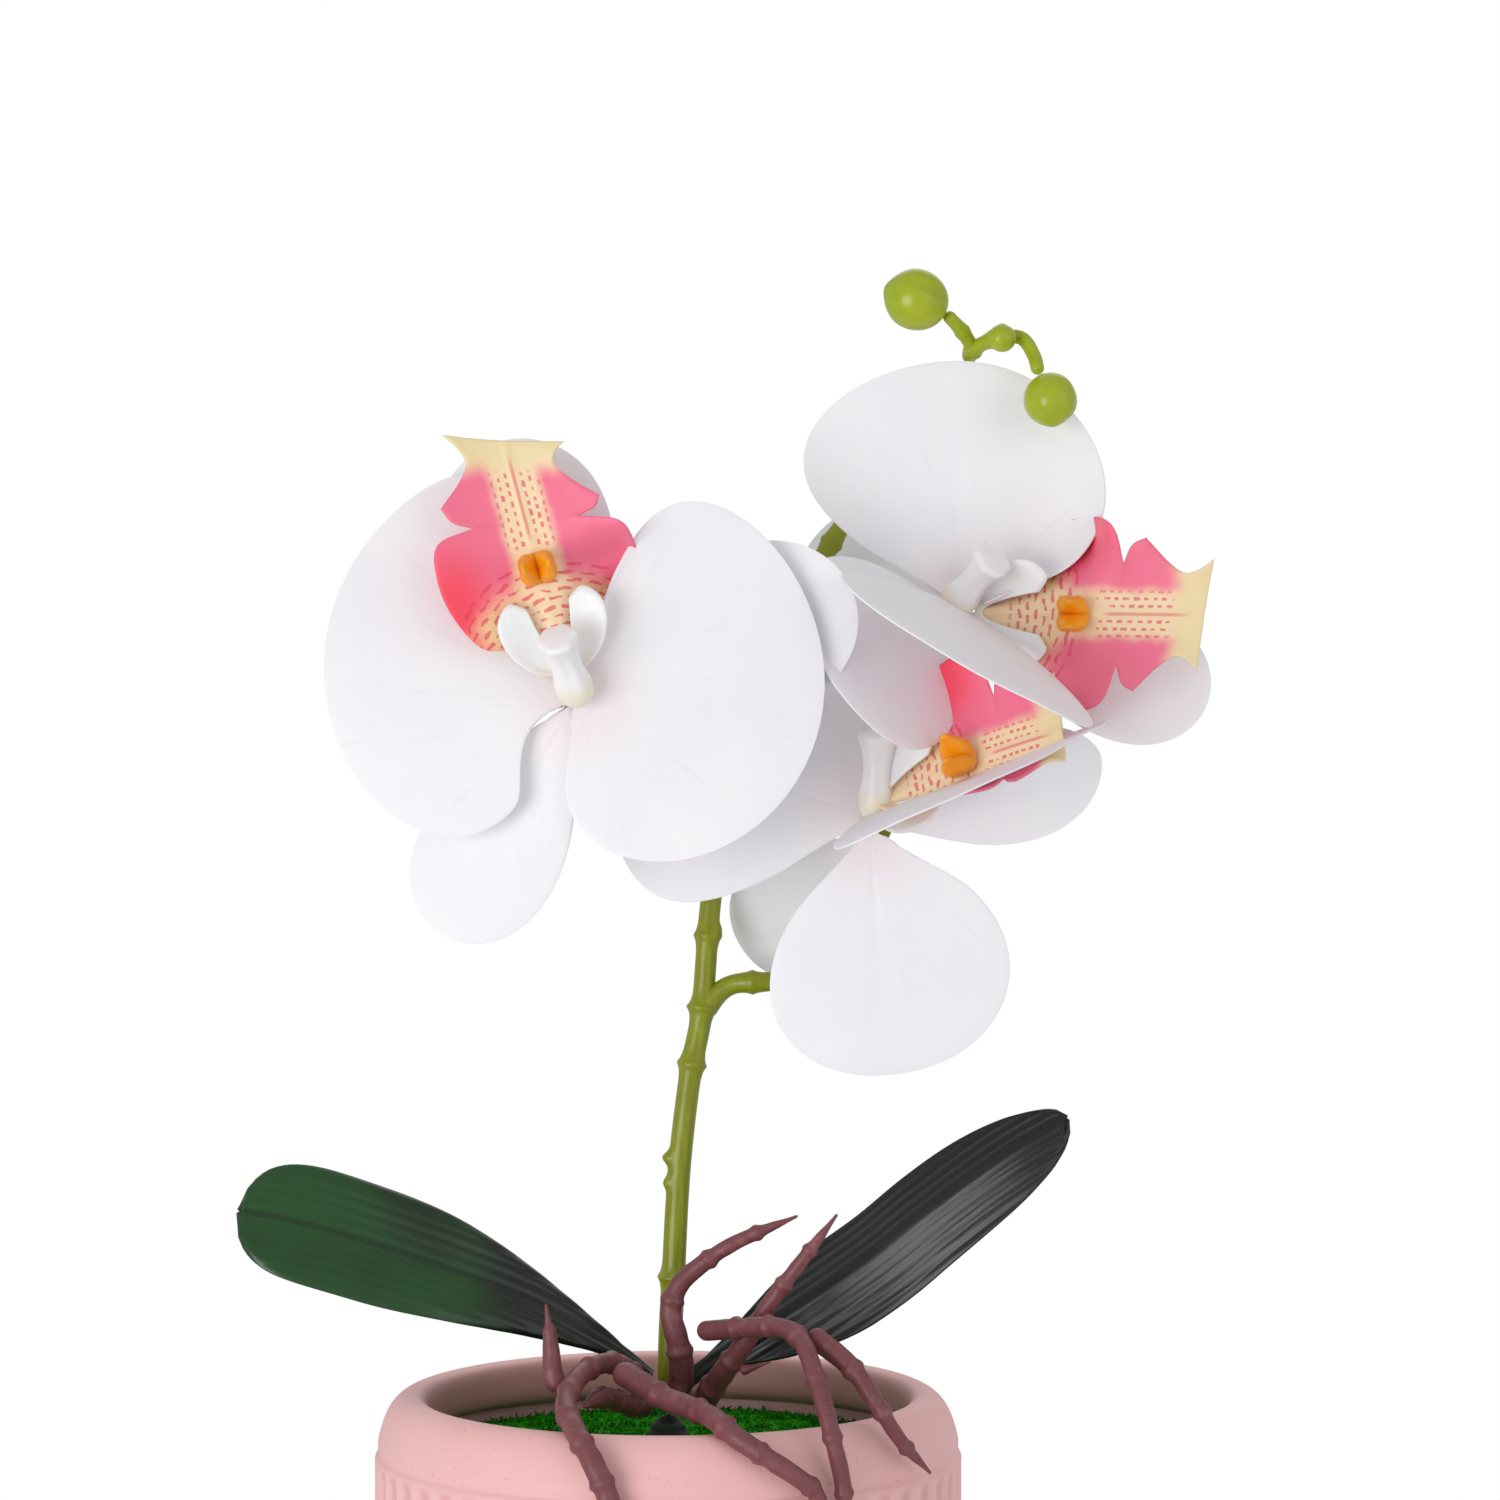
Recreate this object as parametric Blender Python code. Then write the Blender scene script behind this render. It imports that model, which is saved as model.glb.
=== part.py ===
"""Potted moth orchid: three white blooms, a bud spray, two leaves and bare roots in a pot.

Lengths are in millimetres and turned into metres at the last step. The origin is the middle
of the pot's foot, on the surface the pot stands on. +Z is up and the blooms face -Y.
Every named sub-part is one object; the pieces of a bloom hang from an empty at its middle.
"""
import math

import bmesh
import bpy
import numpy as np
from mathutils import Matrix, Vector

MM = 0.001

# Pot
POT_RADIUS = 58.9
MOUTH_RADIUS = 48.0
POT_SIDES = 40
CORE_RADIUS = 53.0
CORE_TOP = 87.0
MOSS_TOP = 90.4
SLEEVE_RADIUS = 4.3
SLEEVE_FOOT = 60.3
CROWN_BOTTOM = 96.8
CROWN_TOP = 101.2

# Foam blades
PETAL_THICK = 0.8
LIP_THICK = 0.7
LEAF_THICK = 1.3
CLAW = 2.2
PETAL_GRID = (5, 12)
SEPAL_GRID = (5, 8)

# Distances of the pieces of a bloom from its middle: the calyx behind, the others in front
CALYX_LEVEL = 5.6
COLLAR_RISE = 1.3
CREST_PLACE = 22.5

# How far the sides of the lip fold forward and its length arches back
LIP_FOLD = 0.012
LIP_ARCH = 0.003

# Flower stem: main shoot and its three side shoots, then their thicknesses
STEM_ROUTE = [(0.3, 0, 101.6), (0.4, 0, 112), (1.1, 0, 126), (1.8, 0, 140), (2.8, 0, 152),
              (4.6, 1, 166), (6.8, 2, 178), (8.6, 4, 200), (12, 8, 220), (17, 11, 240),
              (24.5, 13, 256), (32, 13, 270), (42.5, 11, 286), (52.5, 8, 298), (59.5, 4, 307)]
STEM_RADIUS = (2.5, 1.6)
LOWER_SHOOT = [(6.4, 2, 177), (12, 1.5, 182.5), (20, 0.5, 183.5), (33, 1.5, 184),
               (44, 2.5, 192), (47, 0.5, 204), (42.8, -4.8, 212)]
LEFT_SHOOT = [(9.2, 4.5, 203), (0, 3, 216), (-10, -2, 228), (-16.5, -14, 234.5),
              (-16.4, -31.8, 237.8)]
UPPER_SHOOT = [(19.5, 11.6, 246.5), (30, 14, 246), (44, 12.5, 247), (54, 6.3, 249.8),
               (58.3, 0, 253.5)]
SHOOT_RADIUS = (2.1, 1.7)

# Bud spray
BUD_MAIN = [(60.1, 3.6, 308), (61, 0, 310), (65, -4, 311.8), (70, -6, 312), (72.5, -8, 308.5),
            (73.3, -11, 304.8)]
BUD_SIDE = [(61, 0, 310), (58.5, -3, 313.5), (55.2, -6, 316.8)]
BUD_STEM_RADIUS = (1.5, 1.3)
BUD_SIDE_RADIUS = (1.5, 0.9)
BUDS = [("bud_upper", (49.2, -8, 319.4), 6.5, 6.1, (-0.9, 0.0, 0.35)),
        ("bud_middle", (66.2, -9.3, 311.8), 2.8, 2.8, (0, 0, 1)),
        ("bud_lower", (75.4, -15.5, 299.4), 5.4, 5.2, (0.1, -0.3, -1))]

# Roots: route, radius at the crown, radius at the tip
ROOTS = {
    "root_left_arch": ([(-3.9, -4, 101.5), (-8, -14, 108), (-12, -24, 110.6), (-16.6, -33, 109.6),
                        (-19, -43, 106), (-17.2, -53, 102.8), (-13.2, -59.6, 97),
                        (-10.2, -61, 90), (-9.6, -61.2, 82), (-9.8, -61.2, 76)], 1.6, 1.9),
    "root_left_spike": ([(-20.6, -27, 105.5), (-22.2, -26, 109), (-22.6, -25, 114),
                         (-23.6, -25, 122.5)], 1.9, 0.7),
    "root_left_bridge": ([(-4.6, -1, 98), (-8, -13, 100.5), (-12, -26, 104.2),
                          (-15.6, -37.5, 104.4)], 1.7, 1.6),
    "root_front": ([(-9.4, -29, 110), (-5, -34, 108.3), (0, -38.5, 106), (4.7, -43, 105),
                    (9.4, -49.5, 104), (14.4, -55.4, 101), (24, -57, 95), (28.6, -55.3, 91),
                    (30.2, -54.5, 85), (30.4, -54.4, 79)], 2.1, 1.3),
    "root_upper": ([(2.2, -6.2, 101.6), (2.8, -9, 107), (2.1, -10.5, 112.6), (0.6, -10.5, 118.6),
                    (1.8, -10.5, 123), (4.6, -10.5, 126.4), (13, -12, 132.4), (26, -13, 138.2)],
                   2.2, 0.8),
    "root_middle": ([(6.6, -3.4, 98.6), (9.2, -11, 104), (14.6, -17, 112.4), (21.3, -20.5, 123.2),
                     (28.1, -22, 132.4), (33.6, -22.5, 139.8)], 2.2, 0.8),
    "root_right_arch": ([(6.6, -14.5, 115.4), (15.4, -24.5, 117.6), (22, -32, 118.9),
                         (26.4, -38, 117), (29.6, -47, 109.5), (32.2, -52.2, 100.5),
                         (34.2, -51.4, 91), (34.6, -51.2, 82)], 1.7, 1.3),
    "root_right_fork": ([(27.8, -33.6, 118), (35.6, -38.5, 112.4), (40.6, -41.5, 105.8),
                         (45.4, -40.2, 98.2), (51.6, -34.4, 90.6)], 1.9, 0.8),
    "root_spur": ([(14.4, -21.4, 108.6), (17, -22, 109.4), (20.6, -22.6, 110.6)], 1.2, 0.4),
}

# Leaves: spine, then (across vector at the base, across vector at the tip)
LEAF_LEFT = [(-3.6, 1.5, 103.8), (-12, -1, 110.5), (-27, -6, 119.6), (-43, -10, 126.5),
             (-62, -13, 133.5), (-76, -14, 137.5), (-84.6, -14, 139)]
LEAF_LEFT_ACROSS = ((0.1, 0.75, 0.65), (0.25, 0.45, 0.86))
LEAF_RIGHT = [(4, 2.5, 103), (9, 2, 107), (26, -2, 118.6), (40, -5, 128.8), (51, -8, 138),
              (66, -11, 149.5), (79, -12, 157.4)]
LEAF_RIGHT_ACROSS = ((-0.5, 0.6, 0.6), (-0.55, 0.55, 0.62))

# Blades of the blooms. along: the way the blade points; facing: its front side.
# size: length, reach at the fan's edges. fan: angle to its left edge, to its right edge,
# fullness, waist, lean (+ shortens the right side, - the left).
# bend: cup across, arch along (share of the length, + is towards the front).
# lip: along, facing, distance in front of the middle, slide along, scale, skew.
BLOOMS = {
    "left_bloom": {
        "centre": (-17.2, -40.0, 241.0),
        "axis": (-0.1, -0.93, 0.36),
        "petals": {
            "petal_right": ((0.95, 0.0, 0.31), (0.0, -0.97, 0.1), 0.6,
                            (48.5, 4.0), (56, 120, 3.0, 0.8, 0.3), (0.04, -0.04)),
            "petal_left": ((-0.72, 0.05, 0.69), (0.0, -0.97, 0.2), 0.0,
                           (51.8, 4.0), (110, 31, 4.0, 0.8, -0.22), (-0.06, -0.08)),
        },
        "sepals": {
            "sepal_lower": ((-0.49, 0.05, -0.87), (-0.1, -0.97, 0.1), -1.2,
                            (51.5, 4.0), (31, 31, 2.0, 1.0, 0.0), (-0.1, 0.05)),
            "sepal_upper": ((-0.29, 0.2, 0.93), (0.0, -0.97, 0.1), -2.3,
                            (54.0, 4.0), (36, 36, 2.0, 1.0, 0.0), (-0.1, 0.0)),
            "sepal_right": ((0.92, 0.03, 0.39), (0.0, -0.97, 0.1), -3.4,
                            (57.5, 4.0), (33, 33, 2.0, 1.0, 0.0), (-0.1, 0.0)),
        },
        "tail": (0.1, 0.93, -0.36),
        "lip": ((-0.28, -0.05, 0.96), (0.0, -0.98, 0.0), 1.8, 3.0, 1.0, -0.35),
        "column": ((-0.2, -0.75, 0.63), 14.0, (-0.5, -4.8, 1.9)),
    },
    "upper_bloom": {
        "centre": (59.0, -8.0, 257.7),
        "axis": (0.1, -0.88, 0.45),
        "petals": {
            "petal_upper": ((-0.09, 0.0, 0.99), (0.0, -0.98, 0.1), 0.0,
                            (49.8, 4.0), (54, 77, 2.8, 0.8, 0.55), (-0.05, -0.05)),
            "petal_lower": ((0.15, -0.98, -0.09), (0.45, 0.0, 0.84), 0.6,
                            (51.0, 3.4), (36, 66, 4.0, 0.8, 0.0), (-0.08, -0.1)),
        },
        "sepals": {
            "sepal_left": ((-0.6, 0.69, 0.4), (-0.15, -0.8, 0.45), -2.3,
                           (47.0, 4.0), (33, 37, 2.2, 1.0, 0.0), (-0.06, -0.05)),
            "sepal_right": ((0.94, 0.0, -0.34), (0.0, -0.97, 0.1), -1.2,
                            (51.5, 4.0), (30, 30, 2.0, 1.0, 0.0), (-0.1, 0.0)),
            "sepal_lower": ((-0.49, -0.75, -0.44), (0.56, -0.66, 0.5), -3.4,
                            (45.0, 4.0), (20, 55, 2.0, 1.0, 0.0), (-0.1, 0.0)),
        },
        "tail": (-0.1, 0.88, -0.45),
        "lip": ((0.93, -0.35, -0.01), (-0.35, -0.93, 0.0), 2.4, 2.2, 1.0, -0.15),
        "column": ((0.42, -0.62, 0.66), 14.0, (0.2, -4.6, 2.8)),
    },
    "lower_bloom": {
        "centre": (40.1, -14.0, 217.1),
        "axis": (0.0, -0.45, 0.89),
        "petals": {
            "petal_left": ((-0.94, -0.05, 0.34), (0.1, -0.95, 0.3), 0.0,
                           (51.5, 4.0), (52, 52, 2.6, 0.8, 0.0), (-0.05, -0.05)),
            "petal_right": ((0.65, -0.707, 0.276), (-0.39, 0.0, 0.92), 0.6,
                            (50.0, 4.0), (62, 62, 4.5, 0.8, 0.0), (-0.05, 0.0)),
        },
        "sepals": {
            "sepal_lower": ((0.06, 0.0, -1.0), (0.0, -0.97, 0.1), -2.3,
                            (49.0, 4.0), (60, 48, 2.6, 1.0, 0.0), (-0.1, 0.0)),
            "sepal_right": ((0.95, 0.1, 0.28), (0.0, -0.97, 0.2), -1.2,
                            (49.0, 4.0), (6, 33, 1.5, 1.0, 0.0), (-0.1, 0.0)),
            "sepal_left": ((-0.5, 0.6, -0.6), (-0.3, -0.7, -0.3), -3.4,
                           (45.0, 4.0), (34, 34, 2.0, 1.0, 0.0), (-0.1, 0.0)),
        },
        "tail": (0.25, 0.85, -0.45),
        "lip": ((0.8, -0.4, 0.45), (-0.45, -0.5, 0.74), 6.6, 5.4, 0.85, 0.0),
        "column": ((0.02, -0.12, 0.99), 15.0, (-1.0, -3.8, 3.0)),
    },
}

# Half outline of the lip (across, along) and the matching stations down its middle
LIP_EDGE = [(2.2, 3.5), (4.5, 6), (7, 8.5), (14, 10), (18, 17), (19, 24), (17.2, 29.6),
            (9.8, 31.6), (13.5, 33), (15, 35.5), (10.5, 39.6), (8.2, 43), (9, 45.8), (11, 48)]
LIP_MIDDLE = [3.5, 5.4, 7.4, 10, 15, 20.5, 27, 30.5, 32.5, 34.5, 38.5, 42, 45, 47.5]
LIP_ACROSS = 6

# Half outline of the white collar beside the column, and its stations down the middle
COLLAR_EDGE = [(2.4, 5.4), (4.2, 6.8), (7.6, 8.6), (10.2, 11), (7.5, 15)]
COLLAR_MIDDLE = [5.4, 6.2, 7, 7.9, 9]

# Turned outlines: (radius, height), climbing the outside and coming back down the inside
POT_OUTLINE = [(0, 0), (50, 0), (54.5, 1.4), (57.6, 5), (POT_RADIUS, 10),
               (POT_RADIUS, 85.6), (58, 86.8), (POT_RADIUS, 88.4), (58.5, 92), (56.6, 97),
               (54.6, 99.8), (52.4, 101), (50.2, 100.8), (48.6, 99.6), (MOUTH_RADIUS, 97.6),
               (MOUTH_RADIUS, 94), (49.4, 92), (53.4, 90.8), (53.4, 12), (50, 7), (0, 7)]
CORE_OUTLINE = [(0, 7.3), (49.6, 7.3), (CORE_RADIUS, 12.2), (CORE_RADIUS, CORE_TOP),
                (5.2, CORE_TOP), (5.2, 60), (0, 60)]
MOSS_OUTLINE = [(5.2, 87.3), (52.8, 87.3), (52.8, 88.4), (46, 89.3), (24, MOSS_TOP),
                (5.2, MOSS_TOP)]
SLEEVE_OUTLINE = [(0, SLEEVE_FOOT), (SLEEVE_RADIUS, SLEEVE_FOOT), (SLEEVE_RADIUS, 92),
                  (3.9, 95), (3, 96.4), (0, 96.4)]
CROWN_OUTLINE = [(0, CROWN_BOTTOM), (2.6, CROWN_BOTTOM), (3.1, 98.8), (2.6, CROWN_TOP),
                 (0, CROWN_TOP)]
CALYX_OUTLINE = [(0, 0), (3, 0), (2.9, 0.6), (1.8, 2.2), (0, 2.2)]
COLUMN_OUTLINE = [(0, 0), (2.6, 0), (3.8, 1.4), (3.3, 3), (3, 8), (3.5, 11.5), (4.2, 13.2),
                  (3.8, 14), (0, 14)]
HORN_OUTLINE = [(-2.8, 0), (2.8, 0), (3.4, 7.4), (1.8, 6.6), (0.4, 2.4), (-0.4, 2.4), (-1.8, 6.6),
                (-3.4, 7.4)]

COLOURS = {
    "petal_foam": ((0.88, 0.87, 0.91), 0.55),
    "lip_foam": ((0.90, 0.28, 0.36), 0.5),
    "callus_plastic": ((0.95, 0.40, 0.02), 0.35),
    "white_plastic": ((0.90, 0.89, 0.88), 0.35),
    "stem_plastic": ((0.22, 0.24, 0.01), 0.35),
    "bud_plastic": ((0.36, 0.48, 0.02), 0.3),
    "leaf_plastic": ((0.012, 0.04, 0.014), 0.35),
    "root_plastic": ((0.17, 0.07, 0.08), 0.45),
    "sleeve_plastic": ((0.01, 0.03, 0.01), 0.5),
    "moss_flock": ((0.004, 0.07, 0.003), 1.0),
    "filler_foam": ((0.10, 0.16, 0.08), 0.95),
    "pot_ceramic": ((0.78, 0.46, 0.44), 0.6),
}


def clear_scene():
    """Remove whatever the scene already holds."""
    for old in list(bpy.data.objects):
        bpy.data.objects.remove(old)


def make_materials():
    """One plain material for each finish in the table."""
    made = {}
    for name, (colour, roughness) in COLOURS.items():
        material = bpy.data.materials.new(name)
        material.use_nodes = True
        shader = material.node_tree.nodes["Principled BSDF"]
        shader.inputs["Base Color"].default_value = (*colour, 1.0)
        shader.inputs["Roughness"].default_value = roughness
        shader.inputs["Metallic"].default_value = 0.0
        made[name] = material
    return made


def add_object(name, points, faces, material, parent=None):
    """Named object from points in millimetres and faces given by point numbers."""
    mesh = bpy.data.meshes.new(name)
    mesh.from_pydata([Vector(point) * MM for point in points], [], faces)
    mesh.materials.append(material)
    tidy_normals(mesh)
    piece = bpy.data.objects.new(name, mesh)
    piece.parent = parent
    bpy.context.scene.collection.objects.link(piece)
    return piece


def tidy_normals(mesh):
    """Turn every face the same way round, outwards for a closed skin."""
    work = bmesh.new()
    work.from_mesh(mesh)
    bmesh.ops.recalc_face_normals(work, faces=work.faces)
    work.to_mesh(mesh)
    work.free()


def add_empty(name, centre):
    """Bare marker that the pieces of one bloom hang from."""
    marker = bpy.data.objects.new(name, None)
    marker.location = Vector(centre) * MM
    marker.empty_display_size = 0.02
    bpy.context.scene.collection.objects.link(marker)
    return marker


def turned(outline, sides, closed=False):
    """Points and faces of an outline swept round the Z axis."""
    points = []
    rings = []
    for radius, height in outline:
        count = 1 if radius == 0 else sides
        rings.append(range(len(points), len(points) + count))
        for step in range(count):
            angle = 2 * math.pi * step / sides
            points.append((radius * math.cos(angle), radius * math.sin(angle), height))
    pairs = list(zip(rings, rings[1:]))
    if closed:
        pairs.append((rings[-1], rings[0]))
    faces = []
    for low, high in pairs:
        for step in range(sides):
            after = (step + 1) % sides
            corners = [low[step % len(low)], low[after % len(low)],
                       high[after % len(high)], high[step % len(high)]]
            face = list(dict.fromkeys(corners))
            if len(face) > 2:
                faces.append(face)
    return points, faces


def smooth_route(route, steps):
    """Catmull-Rom curve through the given points, so many steps to a span."""
    knots = np.array(route, float)
    knots = np.vstack([2 * knots[0] - knots[1], knots, 2 * knots[-1] - knots[-2]])
    rows = []
    for before, start, end, after in zip(knots, knots[1:], knots[2:], knots[3:]):
        for t in np.arange(steps) / steps:
            rows.append(0.5 * (2 * start + (end - before) * t
                               + (2 * before - 5 * start + 4 * end - after) * t ** 2
                               + (3 * start - before - 3 * end + after) * t ** 3))
    rows.append(knots[-2])
    return np.array(rows)


def frames_along(path):
    """Two cross directions for every point of a path, carried along without twisting."""
    heading = np.gradient(path, axis=0)
    heading /= np.linalg.norm(heading, axis=1)[:, None]
    side = np.cross(heading[0], (0.31, 0.9, 0.3))
    sides = []
    for ahead in heading:
        side = side - ahead * np.dot(side, ahead)
        side = side / np.linalg.norm(side)
        sides.append(side)
    sides = np.array(sides)
    return sides, np.cross(heading, sides)


def tube(route, start_radius, end_radius, around=6, steps=2):
    """Points and faces of a round rod along a route, closed by a flat cap at each end."""
    path = smooth_route(route, steps)
    share = np.linspace(0, 1, len(path))
    radius = start_radius + (end_radius - start_radius) * share
    first, second = frames_along(path)
    points = []
    for centre, thick, one, two in zip(path, radius, first, second):
        for angle in 2 * math.pi * np.arange(around) / around:
            points.append(tuple(centre + thick * (math.cos(angle) * one + math.sin(angle) * two)))
    faces = [list(range(around))[::-1]]
    for ring in range(len(path) - 1):
        for step in range(around):
            after = (step + 1) % around
            base = ring * around
            faces.append([base + step, base + after, base + around + after, base + around + step])
    last = len(points) - around
    faces.append(list(range(last, len(points))))
    return points, faces


def sheet_faces(rows, columns):
    """Quads of a grid of points with so many rows and columns of cells."""
    faces = []
    for row in range(rows):
        for column in range(columns):
            corner = row * (columns + 1) + column
            faces.append([corner, corner + 1, corner + columns + 2, corner + columns + 1])
    return faces


def fan_points(grid, size, fan, bend):
    """Blade as a fan about its claw: Y along the blade, X across, Z to its front.

    The reach in each direction follows a rounded fan outline; the blade is then cupped
    across and arched along by squares of the distance from its middle line and its claw.
    """
    rings, rays = grid
    length, side = size
    left, right, fullness, waist, lean = fan
    cup, arch = bend
    share = np.sin(np.linspace(-1, 1, rays + 1) * math.pi / 2)
    across = np.radians(np.where(share < 0, left, right)) * share
    round_off = np.sqrt(1 - np.abs(share) ** fullness)
    shape = round_off / (round_off ** 2 + waist ** 2 * (1 - round_off ** 2))
    shorter = abs(lean) * (1 - np.cos(across)) * (across * lean > 0)
    reach = side + (length - side) * shape * (1 - shorter)
    radius = CLAW + np.linspace(0, 1, rings + 1)[:, None] * (reach - CLAW)
    x = radius * np.sin(across)
    y = radius * np.cos(across)
    z = cup * x ** 2 / length + arch * y ** 2 / length
    return np.stack([x, y, z], axis=-1).reshape(-1, 3)


def folded_points(edge_line, middle_line, skew):
    """Grid from a middle line out to both edges, with both sides folded forward.

    The skew slides one side ahead of the other, more and more towards the tip.
    """
    rows = []
    for (wide, edge), middle in zip(edge_line, middle_line):
        for t in np.linspace(-1, 1, LIP_ACROSS + 1):
            x = wide * t
            y = middle + (edge - middle) * t ** 2
            y += skew * x * (y / 50) ** 2
            rows.append((x, y, LIP_FOLD * x ** 2 - LIP_ARCH * (y - 12) ** 2))
    return rows


def stand_by(piece, along, facing):
    """Turn a piece so its Y axis points along and its Z axis looks the way it faces."""
    ahead = Vector(along).normalized()
    front = Vector(facing)
    front = (front - ahead * front.dot(ahead)).normalized()
    right = ahead.cross(front)
    piece.rotation_euler = Matrix((right, ahead, front)).transposed().to_euler()


def add_thickness(piece, thickness):
    """Give a sheet its foam thickness, half to each side."""
    skin = piece.modifiers.new("thickness", "SOLIDIFY")
    skin.thickness = thickness * MM
    skin.offset = 0.0


def build_pot(materials):
    """Pot with the filler plug, moss and stem sleeve that stand in it."""
    add_object("pot", *turned(POT_OUTLINE, POT_SIDES), materials["pot_ceramic"])
    add_object("filler_core", *turned(CORE_OUTLINE, 24), materials["filler_foam"])
    add_object("moss_bed", *turned(MOSS_OUTLINE, 32, closed=True), materials["moss_flock"])
    add_object("stem_sleeve", *turned(SLEEVE_OUTLINE, 12), materials["sleeve_plastic"])
    add_object("root_crown", *turned(CROWN_OUTLINE, 10), materials["root_plastic"])


def join_to(piece, others):
    """Melt helper rods into a piece; the helpers stay hidden."""
    for other in others:
        other.hide_render = True
        other.display_type = "WIRE"
        union = piece.modifiers.new("joined", "BOOLEAN")
        union.operation = "UNION"
        union.solver = "EXACT"
        union.object = other


def build_stems(materials):
    """Flower stem with its side shoots, and the bud stem that carries on from it."""
    green = materials["stem_plastic"]
    stem = add_object("flower_stem", *tube(STEM_ROUTE, *STEM_RADIUS, around=8), green)
    shoots = []
    for name, route in (("shoot_lower", LOWER_SHOOT), ("shoot_left", LEFT_SHOOT),
                        ("shoot_upper", UPPER_SHOOT)):
        shoots.append(add_object(name, *tube(route, *SHOOT_RADIUS), green))
    join_to(stem, shoots)
    lime = materials["bud_plastic"]
    spray = add_object("bud_stem", *tube(BUD_MAIN, *BUD_STEM_RADIUS), lime)
    side = add_object("shoot_bud", *tube(BUD_SIDE, *BUD_SIDE_RADIUS), lime)
    join_to(spray, [side])


def build_buds(materials):
    """Closed buds, slightly longer than wide, each standing along its own direction."""
    for name, centre, long_half, wide_half, along in BUDS:
        outline = []
        for angle in np.radians(np.linspace(-90, 90, 9)):
            radius = wide_half * math.cos(angle)
            outline.append((0 if radius < 0.01 else radius, long_half * math.sin(angle)))
        bud = add_object(name, *turned(outline, 12), materials["bud_plastic"])
        bud.location = Vector(centre) * MM
        bud.rotation_euler = Vector(along).to_track_quat("Z", "Y").to_euler()


def build_roots(materials):
    """Moulded aerial roots that arch over the rim or stand up from the crown."""
    for name, (route, thick, thin) in ROOTS.items():
        add_object(name, *tube(route, thick, thin), materials["root_plastic"])


def leaf_points(spine, across, half_width, belly, fold):
    """Leaf as a grid along its spine; fold lifts both sides into a shallow trough.

    A large belly sets the widest part near the tip, a small one sets it near the base.
    """
    path = smooth_route(spine, 2)
    share = np.linspace(0, 1, len(path))
    heading = np.gradient(path, axis=0)
    rows = []
    for centre, s, ahead in zip(path, share, heading):
        side = np.array(across[0]) * (1 - s) + np.array(across[1]) * s
        ahead = ahead / np.linalg.norm(ahead)
        side = side - ahead * np.dot(side, ahead)
        side = side / np.linalg.norm(side)
        front = np.cross(side, ahead)
        wide = half_width * max(math.sin(0.94 * math.pi * s ** belly) ** 0.6, 0.14)
        for t in np.linspace(-1, 1, 7):
            rows.append(tuple(centre + side * wide * t + front * fold * wide * abs(t)))
    return rows, sheet_faces(len(path) - 1, 6)


def build_leaves(materials):
    """The two strap leaves either side of the stem."""
    for name, spine, across, *shape in (
            ("leaf_left", LEAF_LEFT, LEAF_LEFT_ACROSS, 15.6, 1.6, 0.1),
            ("leaf_right", LEAF_RIGHT, LEAF_RIGHT_ACROSS, 11.0, 0.75, 0.4)):
        points, faces = leaf_points(spine, across, *shape)
        leaf = add_object(name, points, faces, materials["leaf_plastic"])
        add_thickness(leaf, LEAF_THICK)


def add_blade(bloom, part, spec, grid, parent, axis, material):
    """One petal or sepal of a bloom, lifted along the bloom's axis to its own level."""
    along, facing, level, size, fan, bend = spec
    points = fan_points(grid, size, fan, bend)
    blade = add_object(f"{bloom}_{part}", points, sheet_faces(*grid), material, parent)
    blade.location = axis * level * MM
    stand_by(blade, along, facing)
    add_thickness(blade, PETAL_THICK)


def callus_points(distance):
    """Corners of the two-horned crest, a leaning plate so far along the lip."""
    points = []
    for face in (-1.6, 1.4):
        for across, height in HORN_OUTLINE:
            points.append((across, distance + face + 0.2 * height, height + 0.8))
    return points


def plate_faces(count):
    """Faces of a plate whose two sides have so many corners each."""
    faces = [list(range(count)), list(range(2 * count - 1, count - 1, -1))]
    for step in range(count):
        after = (step + 1) % count
        faces.append([step, step + count, after + count, after])
    return faces


def add_lip(bloom, spec, parent, materials):
    """Lip with its orange crest and the white collar that clasps its neck."""
    along, facing, level, slide, scale, skew = spec
    lip_sheet = sheet_faces(len(LIP_EDGE) - 1, LIP_ACROSS)
    collar_sheet = sheet_faces(len(COLLAR_EDGE) - 1, LIP_ACROSS)
    lip = add_object(f"{bloom}_lip", folded_points(LIP_EDGE, LIP_MIDDLE, skew), lip_sheet,
                     materials["lip_foam"], parent)
    collar = add_object(f"{bloom}_collar", folded_points(COLLAR_EDGE, COLLAR_MIDDLE, 0),
                        collar_sheet, materials["white_plastic"], parent)
    callus = add_object(f"{bloom}_callus", callus_points(CREST_PLACE),
                        plate_faces(len(HORN_OUTLINE)), materials["callus_plastic"], parent)
    for piece, higher in ((lip, 0), (collar, COLLAR_RISE), (callus, 0)):
        stand_by(piece, along, facing)
        shift = Vector((0, slide, level + higher)) * MM
        shift.rotate(piece.rotation_euler)
        piece.location = shift
        piece.scale = (scale, scale, scale)
    add_thickness(lip, LIP_THICK)
    add_thickness(collar, LIP_THICK)


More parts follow.
